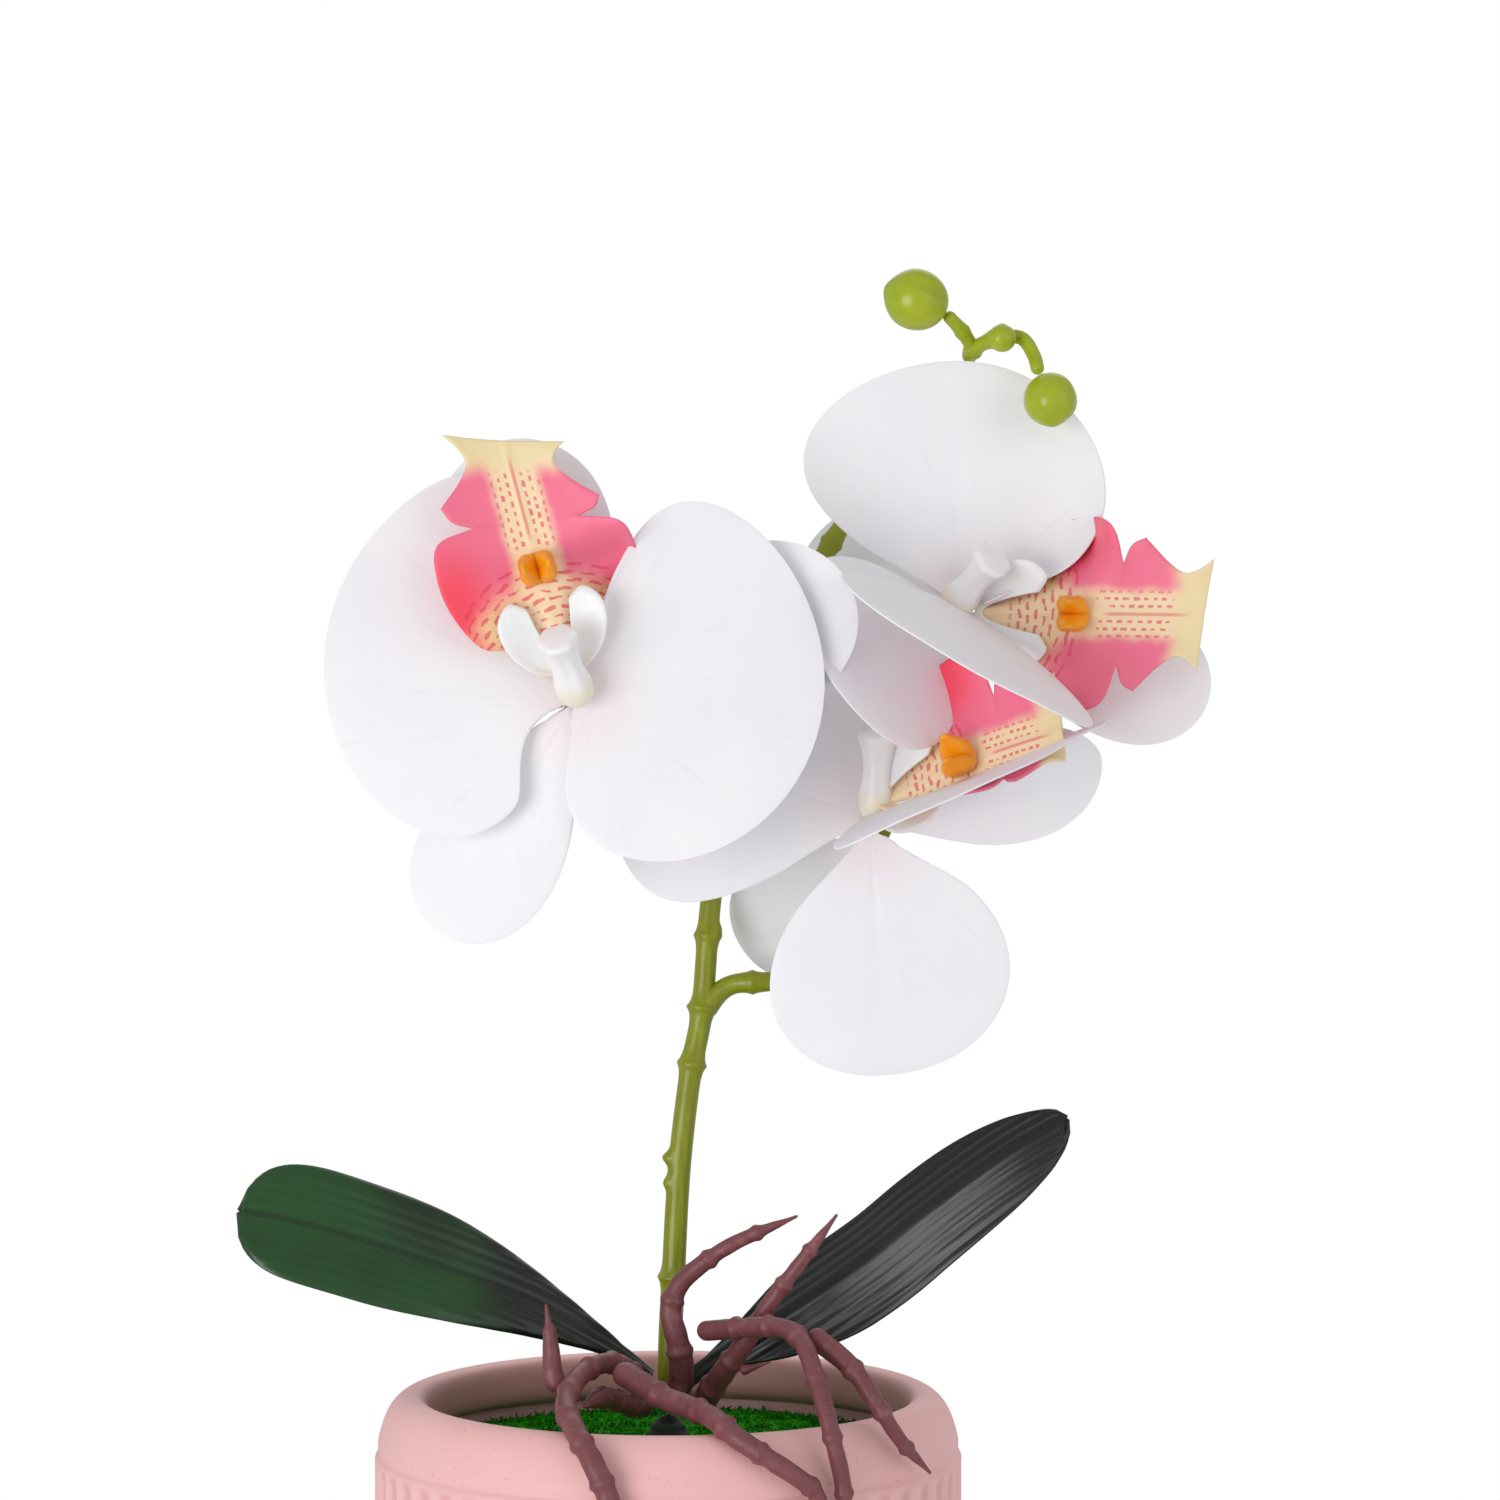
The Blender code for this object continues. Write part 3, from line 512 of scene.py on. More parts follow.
def lip_foam():
    """The same foam printed: cream throat with arcs of red dashes round the column, a cream
    stripe with dots beside a thin red line, hot pink sides and a cream band at the tip."""
    material, tree = new_finish("printed_eva_foam", 0.48, Subsurface_Weight=0.1,
                                Subsurface_Scale=0.0015, Subsurface_Radius=(1.0, 0.5, 0.5))
    across, along = flat_place(tree)
    turn, reach = polar(tree, across, along)
    spots = place(tree)
    off = calc(tree, "ABSOLUTE", across)
    side_turn = calc(tree, "ABSOLUTE", turn)
    shift = calc(tree, "MULTIPLY_ADD", noise(tree, spots, 260.0), 4.0, -2.0)

    body = blend(tree, noise(tree, spots, 60.0, 2.0), "#FF7F9C", "#EE6A8C")
    red_side = product(tree, step_between(tree, across, -6.0, -16.0),
                       step_between(tree, along, 34.0, 20.0))
    body = blend(tree, red_side, body, "#FF4A62")
    throat = product(tree, step_between(tree, calc(tree, "ADD", reach, shift), 23.0, 16.0),
                     step_between(tree, side_turn, 1.15, 0.7))
    body = blend(tree, throat, body, "#F6DDA4")
    stripe = step_between(tree, calc(tree, "MULTIPLY_ADD", shift, 0.5, off), 6.2, 3.2)
    body = blend(tree, stripe, body, "#F8DCB4")
    tip = calc(tree, "MULTIPLY_ADD", off, 0.12, calc(tree, "MULTIPLY_ADD", shift, 0.4, along))
    body = blend(tree, step_between(tree, tip, 40.5, 45.0), body, "#F0DCAC")

    # dashes, one to 3 mm, on arcs 1.7 mm apart round the claw
    wobble = calc(tree, "MULTIPLY_ADD", noise(tree, spots, 330.0, 1.0), 1.5, -0.75)
    uneven = calc(tree, "MULTIPLY_ADD", noise(tree, spots, 480.0, 1.0), 1.6, -0.4)
    dashes = marks(tree, calc(tree, "MULTIPLY_ADD", turn, 15.0, wobble),
                   calc(tree, "ADD", reach, wobble), (3.0, 1.7), 0.82, 0.43, uneven)
    dashes = product(tree, dashes, step_between(tree, reach, 8.0, 10.0),
                     step_between(tree, reach, 25.0, 22.5),
                     step_between(tree, side_turn, 1.12, 0.95))
    # dots, one to 1.9 mm, in rows 1.5 mm apart beside the middle line
    dots = marks(tree, calc(tree, "ADD", along, wobble), calc(tree, "ADD", across, 0.8),
                 (1.9, 1.5), 0.66, 0.5, uneven)
    dots = product(tree, dots, step_between(tree, off, 5.0, 4.2),
                   step_between(tree, off, 0.5, 0.9), step_between(tree, along, 26.0, 27.0),
                   step_between(tree, along, 42.0, 40.5))
    line = product(tree, step_between(tree, off, 0.4, 0.15), step_between(tree, along, 27.0, 30.0),
                   step_between(tree, along, 46.0, 41.0), 0.8)
    printed = calc(tree, "MAXIMUM", calc(tree, "MAXIMUM", dashes, dots), line)
    body = tinted(tree, body, printed, 0.72, "#E23C5C")
    return dressed(material, body, noise(tree, spots, 700.0, 2.0), 0.12, 0.5)


def callus_plastic():
    """Soft PVC crest, dipped orange: satin, clouded with a paler yellow orange."""
    material, tree = new_finish("dipped_orange_pvc", 0.38, Subsurface_Weight=0.15,
                                Subsurface_Scale=0.001)
    body = blend(tree, noise(tree, place(tree), 220.0, 2.0), "#F48A04", "#FDB41C")
    return dressed(material, body, noise(tree, place(tree), 600.0), 0.15, 0.5)


def white_plastic():
    """Moulded PE, milky white: waxy and slightly see-through, yellower at its root end."""
    material, tree = new_finish("milky_moulded_pe", 0.34, Subsurface_Weight=0.25,
                                Subsurface_Scale=0.002)
    _, along = flat_place(tree)
    body = blend(tree, noise(tree, place(tree), 160.0, 2.0), "#F2F1F3", "#FBFAFA")
    body = tinted(tree, body, step_between(tree, along, 5.0, 0.5), 0.8, "#EFE7CC")
    return dressed(material, body, noise(tree, place(tree), 420.0), 0.12, 0.5)


def stem_plastic():
    """Moulded PE over wire, olive: glossy, with long flow streaks, worn patches, and yellower
    towards the top."""
    material, tree = new_finish("olive_moulded_pe", 0.3)
    spots = place(tree)
    long_way = add(tree, "Mapping", None, {0: spots, 3: (1.0, 1.0, 0.12)}).outputs[0]
    body = blend(tree, noise(tree, long_way, 900.0), "#6C7402", "#98A006")
    height = add(tree, "SeparateXYZ", None, {0: spots}).outputs[2]
    body = tinted(tree, body, step_between(tree, height, 0.24, 0.31), 0.55, "#AEB40C")
    worn = step_between(tree, noise(tree, spots, 130.0), 0.6, 0.72)
    body = tinted(tree, body, worn, 0.3, "#A6A43C")
    return dressed(material, body, noise(tree, long_way, 1400.0), 0.12, 0.5)


def bud_plastic():
    """Blow-moulded PE, lime: glossy, with soft mottling and a few darker flecks."""
    material, tree = new_finish("lime_moulded_pe", 0.26, Subsurface_Weight=0.08,
                                Subsurface_Scale=0.001)
    spots = place(tree)
    body = blend(tree, noise(tree, spots, 170.0), "#8FA20C", "#B4C024")
    fleck = step_between(tree, noise(tree, spots, 520.0, 2.0), 0.62, 0.7)
    body = tinted(tree, body, fleck, 0.35, "#8CA00A")
    return dressed(material, body, noise(tree, spots, 380.0), 0.15, 0.45)


def leaf_plastic():
    """PEVA leaf, printed nearly black and pressed: long parallel veins about 1.2 mm apart, a
    faint grey bloom at grazing angles, and a painted highlight of green patches on the left
    leaf."""
    material, tree = new_finish("pressed_peva_leaf", 0.3, Sheen_Weight=0.04, Sheen_Roughness=0.4)
    across, along = flat_place(tree)
    spots = place(tree)
    vein = noise(tree, pair(tree, across, product(tree, along, 0.06)), 0.85, 3.0, 0.6)
    body = blend(tree, step_between(tree, vein, 0.35, 0.75), "#070C09", "#101C13")
    to_the_left = add(tree, "SeparateXYZ", None, {0: spots}).outputs[0]
    # painted highlight: green patches on the left leaf stand in for light falling on it
    painted_green_highlight = product(tree, step_between(tree, noise(tree, spots, 22.0, 2.0), 0.4, 0.65),
                    step_between(tree, to_the_left, -0.015, -0.045))
    body = tinted(tree, body, painted_green_highlight, 0.8, "#17501A")
    midrib = step_between(tree, calc(tree, "ABSOLUTE", across), 0.9, 0.3)
    body = tinted(tree, body, midrib, 0.5, "#0A150C")
    return dressed(material, body, vein, 0.14, 0.6)


def root_plastic():
    """Moulded PE roots, dusty maroon: satin, with pale dust in patches and dark pits."""
    material, tree = new_finish("maroon_moulded_pe", 0.45)
    spots = place(tree)
    body = blend(tree, noise(tree, spots, 90.0), "#66323A", "#8A4E52")
    dust = step_between(tree, noise(tree, spots, 240.0, 4.0), 0.55, 0.75)
    body = tinted(tree, body, dust, 0.35, "#A87C7C")
    pit = step_between(tree, noise(tree, spots, 620.0, 2.0), 0.36, 0.28)
    body = tinted(tree, body, pit, 0.5, "#4A2226")
    return dressed(material, body, noise(tree, spots, 420.0, 4.0), 0.3, 0.7)


def sleeve_plastic():
    """Floral tape over the stem's foot: dark green, matte, wound in rings 2 mm apart."""
    material, tree = new_finish("dark_floral_tape", 0.7)
    height = add(tree, "SeparateXYZ", None, {0: place(tree)}).outputs[2]
    ring = calc(tree, "SINE", product(tree, height, 3142.0))
    body = blend(tree, step_between(tree, ring, -1.0, 1.0), "#0C1C10", "#1A3420")
    return dressed(material, body, ring, 0.25, 0.6)


def moss_flock():
    """Nylon flock moss: bright green tufts, darker between them, no gloss at all."""
    material, tree = new_finish("nylon_flock_moss", 0.95, Specular_IOR_Level=0.1)
    spots = place(tree)
    body = blend(tree, noise(tree, spots, 380.0, 4.0), "#0A5A02", "#30AA12")
    dark = step_between(tree, noise(tree, spots, 110.0, 2.0), 0.52, 0.35)
    body = tinted(tree, body, dark, 0.55, "#063A04")
    return dressed(material, body, noise(tree, spots, 1500.0, 2.0), 0.3, 0.8)


def filler_foam():
    """Dry floral foam: grey green, crumbly cells about half a millimetre across."""
    material, tree = new_finish("dry_floral_foam", 0.95)
    cells = add(tree, "TexVoronoi", None, {"Vector": place(tree), "Scale": 1600.0}).outputs[0]
    return dressed(material, blend(tree, cells, "#4C5A44", "#76866A"), cells, 0.3, 0.7)


def pot_ceramic():
    """Bisque stoneware under a matte pink glaze: soft clouding, glaze thin and paler on the
    crests of the flutes, faint specks, and painted shade inside: the inner wall darkened to
    brown pink."""
    material, tree = new_finish("matte_pink_glaze", 0.55, Coat_Weight=0.06, Coat_Roughness=0.4)
    spots = place(tree)
    split = add(tree, "SeparateXYZ", None, {0: spots}).outputs
    level_part = add(tree, "Mapping", None, {0: spots, 3: (1.0, 1.0, 0.0)}).outputs[0]
    wide = add(tree, "VectorMath", {"operation": "LENGTH"}, {0: level_part}).outputs["Value"]
    body = blend(tree, noise(tree, spots, 30.0), "#EDB2B1", "#F6C8C6")
    turn = calc(tree, "ARCTAN2", split[1], split[0])
    crest = calc(tree, "COSINE", product(tree, turn, float(FLUTES)))
    wall = step_between(tree, split[2], 0.0885, 0.0865)
    groove = product(tree, step_between(tree, crest, 0.2, -0.9), wall)
    body = tinted(tree, body, groove, 0.35, "#CF8E8A")
    pale = product(tree, step_between(tree, crest, 0.6, 1.0), wall)
    body = tinted(tree, body, pale, 0.35, "#F3CFCB")
    speck = step_between(tree, noise(tree, spots, 1100.0, 1.0), 0.3, 0.22)
    body = tinted(tree, body, speck, 0.4, "#B97B76")
    # painted shade: the inner wall of the mouth darkened to brown pink where shadow falls
    painted_inside_shade = product(tree, step_between(tree, wide, 0.0506, 0.0484),
                     step_between(tree, split[2], 0.004, 0.006))
    body = tinted(tree, body, painted_inside_shade, 0.75, "#A26C66")
    rough = calc(tree, "MULTIPLY_ADD", noise(tree, spots, 60.0), 0.14, 0.48)
    tree.links.new(rough, tree.nodes["Principled BSDF"].inputs["Roughness"])
    return dressed(material, body, noise(tree, spots, 500.0), 0.08, 0.5)


FINISHES = {made.__name__: made() for made in (
    petal_foam, lip_foam, callus_plastic, white_plastic, stem_plastic, bud_plastic, leaf_plastic,
    root_plastic, sleeve_plastic, moss_flock, filler_foam, pot_ceramic)}


# ---- pot, moss and sleeve

def build_pot():
    """Pot wall: profile carried round, with the radius of the fluted zone lowered between the
    crests by the depth times a power of half of one minus the cosine of the turn times the
    flute count, and a gentle sum of sines all round."""
    foot = [(0.01, 0), (25, 0), (49.6, 0), (50.6, 0.1), (54.5, 1.4), (57.6, 5), (58.7, 9)]
    wall = [(POT_RADIUS, z) for z in np.linspace(10, 87.6, 44)]
    ledge = [(POT_RADIUS, LEDGE_LEVEL), (58.75, 88.7), (58.4, 89.1), (58.1, 89.4), (58.05, 89.8),
             (58.2, 90.3)]
    rim = curve_through([(58.2, 90.3), (58.1, 92.4), (56.7, 96.8), (54.8, 99.6), (52.4, 101),
                         (50.2, 100.8), (48.6, 99.6), (48.0, 97.4), (48.0, 94), (49.4, 92),
                         (53.4, 90.8)], 6)[1:]
    inner = [(53.4, 90.6), (53.4, 60), (53.4, 12), (50, 7), (30, 7), (0.01, 7)]
    profile = np.vstack([foot, wall, ledge, rim, inner])
    grid = turned(profile, FLUTES * 12)
    turn = np.arctan2(grid[..., 1], grid[..., 0])
    height = grid[..., 2]
    outer = np.zeros(len(profile))
    outer[:len(foot) + len(wall) + 1] = 1
    deep = outer[:, None] * ease(4.5, 12, height) * ease(LEDGE_LEVEL + 0.2, LEDGE_LEVEL - 1.8, height)
    valley = (0.5 - 0.5 * np.cos(FLUTES * turn)) ** 0.8
    radius = np.linalg.norm(grid[..., :2], axis=-1, keepdims=True)
    thrown = 0.06 * wander(grid, 40, 3)[..., None]
    sunk = FLUTE_DEPTH * (deep * valley)[..., None] - thrown * outer[:, None, None]
    grid[..., :2] *= 1 - sunk / radius
    add_piece("pot_fluted_wall", closed_skin(grid), "pot_ceramic", ["pot"])


def build_moss():
    """Moss bed: a disc whose height is a sum of sines, with thousands of short bent tufts, each
    a three-sided spike that leans one way."""
    share = np.linspace(0, 1, 60)
    top_face = [(0.01, 90.2), *zip(MOSS_HOLE + (MOSS_RADIUS - MOSS_HOLE) * share,
                                   MOSS_TOP - MOSS_FALL * share ** 3)]
    under = [(52.7, 88.4), (52.7, 87.4), (40, 87.35), (MOSS_HOLE, 87.35), (0.01, 87.35)]
    profile = np.array(top_face + under)
    ring = profile[:, 0]
    grid = turned(profile, 150)
    top = np.arange(len(ring)) < len(top_face)
    grid[..., 2] += top[:, None] * (0.5 * wander(grid, 9, 5) + 0.3 * wander(grid, 4, 6)
                                    ) * ease(3, 10, ring)[:, None]
    rng = np.random.default_rng(11)
    far = np.sqrt(rng.uniform(5.2 ** 2, 52 ** 2, TUFTS))
    turn = rng.uniform(0, 2 * np.pi, TUFTS)
    share = (far - MOSS_HOLE) / (MOSS_RADIUS - MOSS_HOLE)
    base = np.stack([far * np.cos(turn), far * np.sin(turn),
                     MOSS_TOP - 0.2 - MOSS_FALL * share ** 3], axis=1)
    lean = unit(np.stack([rng.normal(size=TUFTS), rng.normal(size=TUFTS),
                          rng.uniform(0.5, 2.2, TUFTS)], axis=1))
    tall = rng.uniform(0.9, 2.1, (TUFTS, 1))
    thick = rng.uniform(0.16, 0.34, TUFTS)
    side = unit(np.cross(lean, rng.normal(size=(TUFTS, 3))))
    up = np.cross(lean, side)
    spin = 2 * np.pi * np.arange(3) / 3
    around = (np.cos(spin)[None, :, None] * side[:, None] + np.sin(spin)[None, :, None]
              * up[:, None]) * thick[:, None, None]
    middle = base + lean * tall * 0.55
    tip = base + lean * tall + np.stack([lean[:, 1], -lean[:, 0], -0.5 * lean[:, 2]], axis=1) * 0.5
    points = np.concatenate([base[:, None] + around, middle[:, None] + around * 0.8,
                             tip[:, None]], axis=1)
    spike = np.array([[0, 1, 4, 3], [1, 2, 5, 4], [2, 0, 3, 5]])
    caps = np.array([[3, 4, 6], [4, 5, 6], [5, 3, 6], [2, 1, 0]])
    start = np.arange(TUFTS)[:, None, None] * 7
    tufts = (points.reshape(-1, 3),
             (spike + start).reshape(-1, 4).tolist() + (caps + start).reshape(-1, 3).tolist())
    add_piece("moss_flocked_bed", merged([closed_skin(grid), tufts]), "moss_flock", ["moss_bed"])


def build_sleeve():
    """Taped sleeve: a rod whose radius rises a little at every turn of the tape; and the boss
    that the roots start from, a short rod with a bell."""
    def sleeve_radius(run, outward):
        return SLEEVE_RADIUS + 0.12 * np.sin(run * 3.14) - 0.9 * ease(32, 36, run)

    def crown_radius(run, outward):
        return 2.7 + 0.5 * bump(run - 2, 1.2)

    grid = rod([(0, 0, 60.3), (0, 0, 72), (0, 0, 84), (0, 0, 96.4)], sleeve_radius, 28, 0.3)
    add_piece("sleeve_taped", closed_skin(grid), "sleeve_plastic", ["stem_sleeve"])
    grid = rod([(0, 0, 96.8), (0, 0, 98.5), (0, 0, 101.2)], crown_radius, 24, 0.2)
    add_piece("root_crown_boss", closed_skin(grid), "root_plastic", ["root_crown"])


# ---- stems and buds

def stem_radius(start, end, rings=(), thorns=(), flare=0.0):
    """Radius of a shoot: straight taper, plus a bell at each ring, a flare where it leaves, and
    one-sided bells for thorns. Rings and thorns are given by their distance along."""
    def radius_at(run, outward):
        share = run / run.max()
        radius = start + (end - start) * share + flare * np.exp(-run / 2.5)
        for place_at, tall in rings:
            radius = radius + tall * (0.6 * bump(run - place_at, 1.8)
                                      + 0.5 * bump(run - place_at, 0.55))
        for place_at, tall, direction in thorns:
            facing = np.clip(outward @ unit(np.array(direction, float)), 0, 1) ** 10
            radius = radius + tall * bump(run - place_at, 1.3) * facing
        return radius
    return radius_at


def build_stems():
    """Flower stem: the main rod and its three side shoots as one moulding; then the bud stem."""
    main = stem_radius(2.45, 1.7, rings=[(22.5, 0.8), (65.5, 0.8), (77, 1.0), (91.5, 0.7),
                                        (148, 0.7), (176, 0.6)],
                       thorns=[(46.5, 2.2, (-1, -0.3, -0.2)), (41.5, 1.0, (-1, -0.4, 0)),
                               (93, 0.8, (1, -0.6, 0))])
    shoots = [rod(STEM_ROUTE, main, 26, 0.5),
              rod(LOWER_SHOOT, stem_radius(2.0, 1.75, [(13, 0.5), (37, 0.4)], flare=1.1), 22, 0.5),
              rod(LEFT_SHOOT, stem_radius(2.0, 1.75, [(16, 0.5)], flare=1.1), 22, 0.5),
              rod(UPPER_SHOOT, stem_radius(2.0, 1.75, [(14, 0.5), (30, 0.4)], flare=1.1), 22, 0.5)]
    add_piece("flower_stem_moulding", merged([closed_skin(grid) for grid in shoots]),
              "stem_plastic", ["flower_stem"])
    spray = [rod(BUD_MAIN, stem_radius(1.5, 1.35, [(4, 0.6), (10, 0.6)]), 20, 0.35),
             rod(BUD_SIDE, stem_radius(1.4, 1.3, [(5, 0.3)]), 20, 0.35)]
    add_piece("bud_stem_moulding", merged([closed_skin(grid) for grid in spray]),
              "bud_plastic", ["bud_stem"])


def build_buds():
    """Bud: an ellipsoid drawn to a blunt point at its far end, its radius lowered along the three
    seams where the sepals meet."""
    for name, (centre, long_half, wide_half, along) in BUDS.items():
        lift = np.linspace(-90, 90, 44)[:, None]
        turn = (2 * np.pi * np.arange(72) / 72)[None, :]
        angle = np.radians(lift)
        seam = np.cos(1.5 * (turn + 0.5)) ** 2
        radius = wide_half * np.cos(angle) * (1 - 0.05 * bump(seam, 0.09) * np.cos(angle))
        radius = radius * (1 - 0.16 * ease(20, 85, lift)) * (1 + 0.02 * np.sin(2 * turn))
        height = long_half * np.sin(angle) * (1 + 0.03 * ease(60, 90, lift)) + 0 * turn
        body = np.stack([radius * np.cos(turn), radius * np.sin(turn), height], axis=-1)
        turned_by = Vector(along).to_track_quat("Z", "Y").to_matrix()
        grid = body @ np.array(turned_by).T + np.array(centre)
        add_piece(f"{name}_seamed", closed_skin(grid[1:-1]), "bud_plastic", [name])


# ---- roots and leaves

def build_roots():
    """Roots: a rod with a knuckle every centimetre or so, uneven all over, thinning to a point;
    the unevenness is a sum of sines of the distance and the outward direction."""
    for number, (name, (route, thick, thin)) in enumerate(ROOTS.items()):
        rng = np.random.default_rng(20 + number)
        knuckles = np.cumsum(rng.uniform(8.5, 13.5, 14))

        def root_radius(run, outward):
            end = run.max()
            radius = 1.2 * (thick + (thin - thick) * (run / end) ** 1.2)
            for knuckle in knuckles[knuckles < end - 3]:
                past = run - knuckle
                radius = radius + KNUCKLE * bump(past, 0.8) - 0.1 * bump(past - 2, 1.2)
            spots = outward * 3 + run[..., None] * 0.9
            radius = radius * (0.3 + 0.7 * ease(end + 0.5, end - 9, run))
            return radius * (1 + 0.04 * wander(spots, 7, number)
                             + 0.03 * wander(spots, 2.5, number))

        grid = rod(route, root_radius, 22, 0.45)
        add_piece(f"{name}_moulded", closed_skin(grid), "root_plastic", [name])


def build_leaves():
    """Leaf: across lines carried along the spine, growing by a quarter of a sine wave to the
    widest place and rounded off past it; each line is folded by the share of its half width and
    ridged by a cosine across, and the margin rolls back a little."""
    for name, (spine, across, half_width, belly, fold, blunt) in LEAVES.items():
        path, run = even_steps(curve_through(spine, 16), 1.1)
        share = (run / run[-1])[:, None]
        heading = unit(np.gradient(path, axis=0))
        side = np.array(across[0]) * (1 - share) + np.array(across[1]) * share
        side = unit(side - heading * np.sum(side * heading, axis=1, keepdims=True))
        front = np.cross(side, heading)
        wide = np.maximum(np.sin(0.5 * np.pi * np.minimum(share / belly, 1)) ** 1.25, 0.14)
        past = np.clip((share - belly) / (1 - belly), 0, 1)
        wide = np.maximum(half_width * wide * np.sqrt(1 - past ** blunt), 0.4)
        t = np.sin(np.linspace(-1, 1, 49) * np.pi / 2)[None, :]
        ridge = 0.13 * np.cos(wide * t * 2 * np.pi / VEIN_GAP)
        lift = fold * wide * np.sqrt(t ** 2 + 0.004) + ridge * (1 - t ** 6)
        lift = lift - 0.9 * np.abs(t) ** 7 + 0.35 * np.sin(run[:, None] / 6) * np.abs(t) ** 3
        grid = (path[:, None] + side[:, None] * (wide * t)[..., None]
                + front[:, None] * lift[..., None])
        taper = np.sqrt(1 - np.abs(t) ** 8 * 0.85) * np.ones_like(share)
        flat = np.stack(np.broadcast_arrays(wide * t, run[:, None] - FLAT_SPAN / 2), axis=-1)
        add_piece(f"{name}_pressed", sheet_shell(grid, LEAF_THICK * taper), "leaf_plastic", [name],
                  flat_map(flat))


# ---- blooms

def fan_grid(size, fan, bend, seed, claws):
    """Blade as a fan about its claw: x across, y along, z to its front.

    The reach in each direction is the side reach plus the rest times the rounded fan outline;
    the blade is cupped and arched by squares of the two distances, and its border waves gently.
    Near the claw each side's turn is multiplied by its claw share, which narrows the blade there.
    """
    length, side = size
    left, right, fullness, waist, lean = fan
    cup, arch = bend
    share = np.sin(np.linspace(-1, 1, 97) * np.pi / 2)[None, :]
    turn = np.radians(np.where(share < 0, left, right)) * share
    round_off = np.sqrt(1 - np.abs(share) ** fullness)
    shape = round_off / (round_off ** 2 + waist ** 2 * (1 - round_off ** 2))
    shorter = abs(lean) * (1 - np.cos(turn)) * (turn * lean > 0)
    reach = side + (length - side) * shape * (1 - shorter)
    out = np.sin(np.linspace(0, 1, 40) * np.pi / 2)[:, None]
    radius = CLAW + out * (reach - CLAW)
    claw = np.where(share < 0, claws[0], claws[1])
    turn = turn * (claw + (1 - claw) * ease(4, 24, radius))
    x = radius * np.sin(turn)
    y = radius * np.cos(turn)
    wave = np.random.default_rng(seed).uniform(0, 6.28, 3)
    ripple = (0.35 * np.sin(3.1 * turn + wave[0]) + 0.25 * np.sin(6.3 * turn + wave[1])
              + 0.10 * np.sin(13 * turn + wave[2])) * out ** 3 * ease(4, 14, reach)
    midrib = -0.2 * bump(turn, 0.07) * ease(3, 12, radius) * ease(length, length * 0.55, radius)
    z = cup * x ** 2 / length + arch * y ** 2 / length + ripple + midrib
    return np.stack([x, y, z], axis=-1), out


def folded_grid(edge_stretches, middle_stretches, skew, columns):
    """Grid from a middle line out to both edges: along goes from middle to edge by the square of
    the share across, and height by the square of across, minus a square along."""
    edge = np.vstack([curve_through(part, 9)[:-1] for part in edge_stretches]
                     + [np.array(edge_stretches[-1][-1:], float)])
    middle = np.concatenate([curve_through(part, 9)[:-1, 0] for part in middle_stretches]
                            + [middle_stretches[-1][-1:]])
    t = np.linspace(-1, 1, columns)[None, :]
    x = edge[:, :1] * t
    y = middle[:, None] + (edge[:, 1:] - middle[:, None]) * t ** 2
    flat = np.stack([x, y], axis=-1)
    y = y + skew * x * (y / 50) ** 2
    z = LIP_FOLD * x ** 2 - LIP_ARCH * (y - 12) ** 2
    return np.stack([x, y, z], axis=-1), flat


def flat_map(flat):
    """Flat millimetres as map coordinates, for the front and the back of a sheet."""
    spread = (flat / FLAT_SPAN + 0.5).reshape(-1, 2)
    return np.vstack([spread, spread])


def build_blade(bloom, part, spec, centre, axis, seed):
    """One petal or sepal: the fan set in its own frame at its level along the bloom's axis."""
    along, facing, level, size, fan, bend = spec
    local, out = fan_grid(size, fan, bend, seed, CLAW_SHARES.get((bloom, part), (0.9, 0.9)))
    side, height = LOBE_LIFTS.get((bloom, part), (1, 0))
    turn = np.arctan2(local[..., 0], local[..., 1]) * side
    local[..., 2] += height * ease(0.4, 1.3, turn) * out ** 3
    grid = local @ frame_of(along, facing) + centre + axis * level
    taper = np.sqrt(1 - 0.8 * out ** 24) * np.ones(local.shape[:2])
    add_piece(f"{bloom}_{part}_foam", sheet_shell(grid, PETAL_THICK * taper), "petal_foam",
              [f"{bloom}_{part}"], flat_map(local[..., :2]))


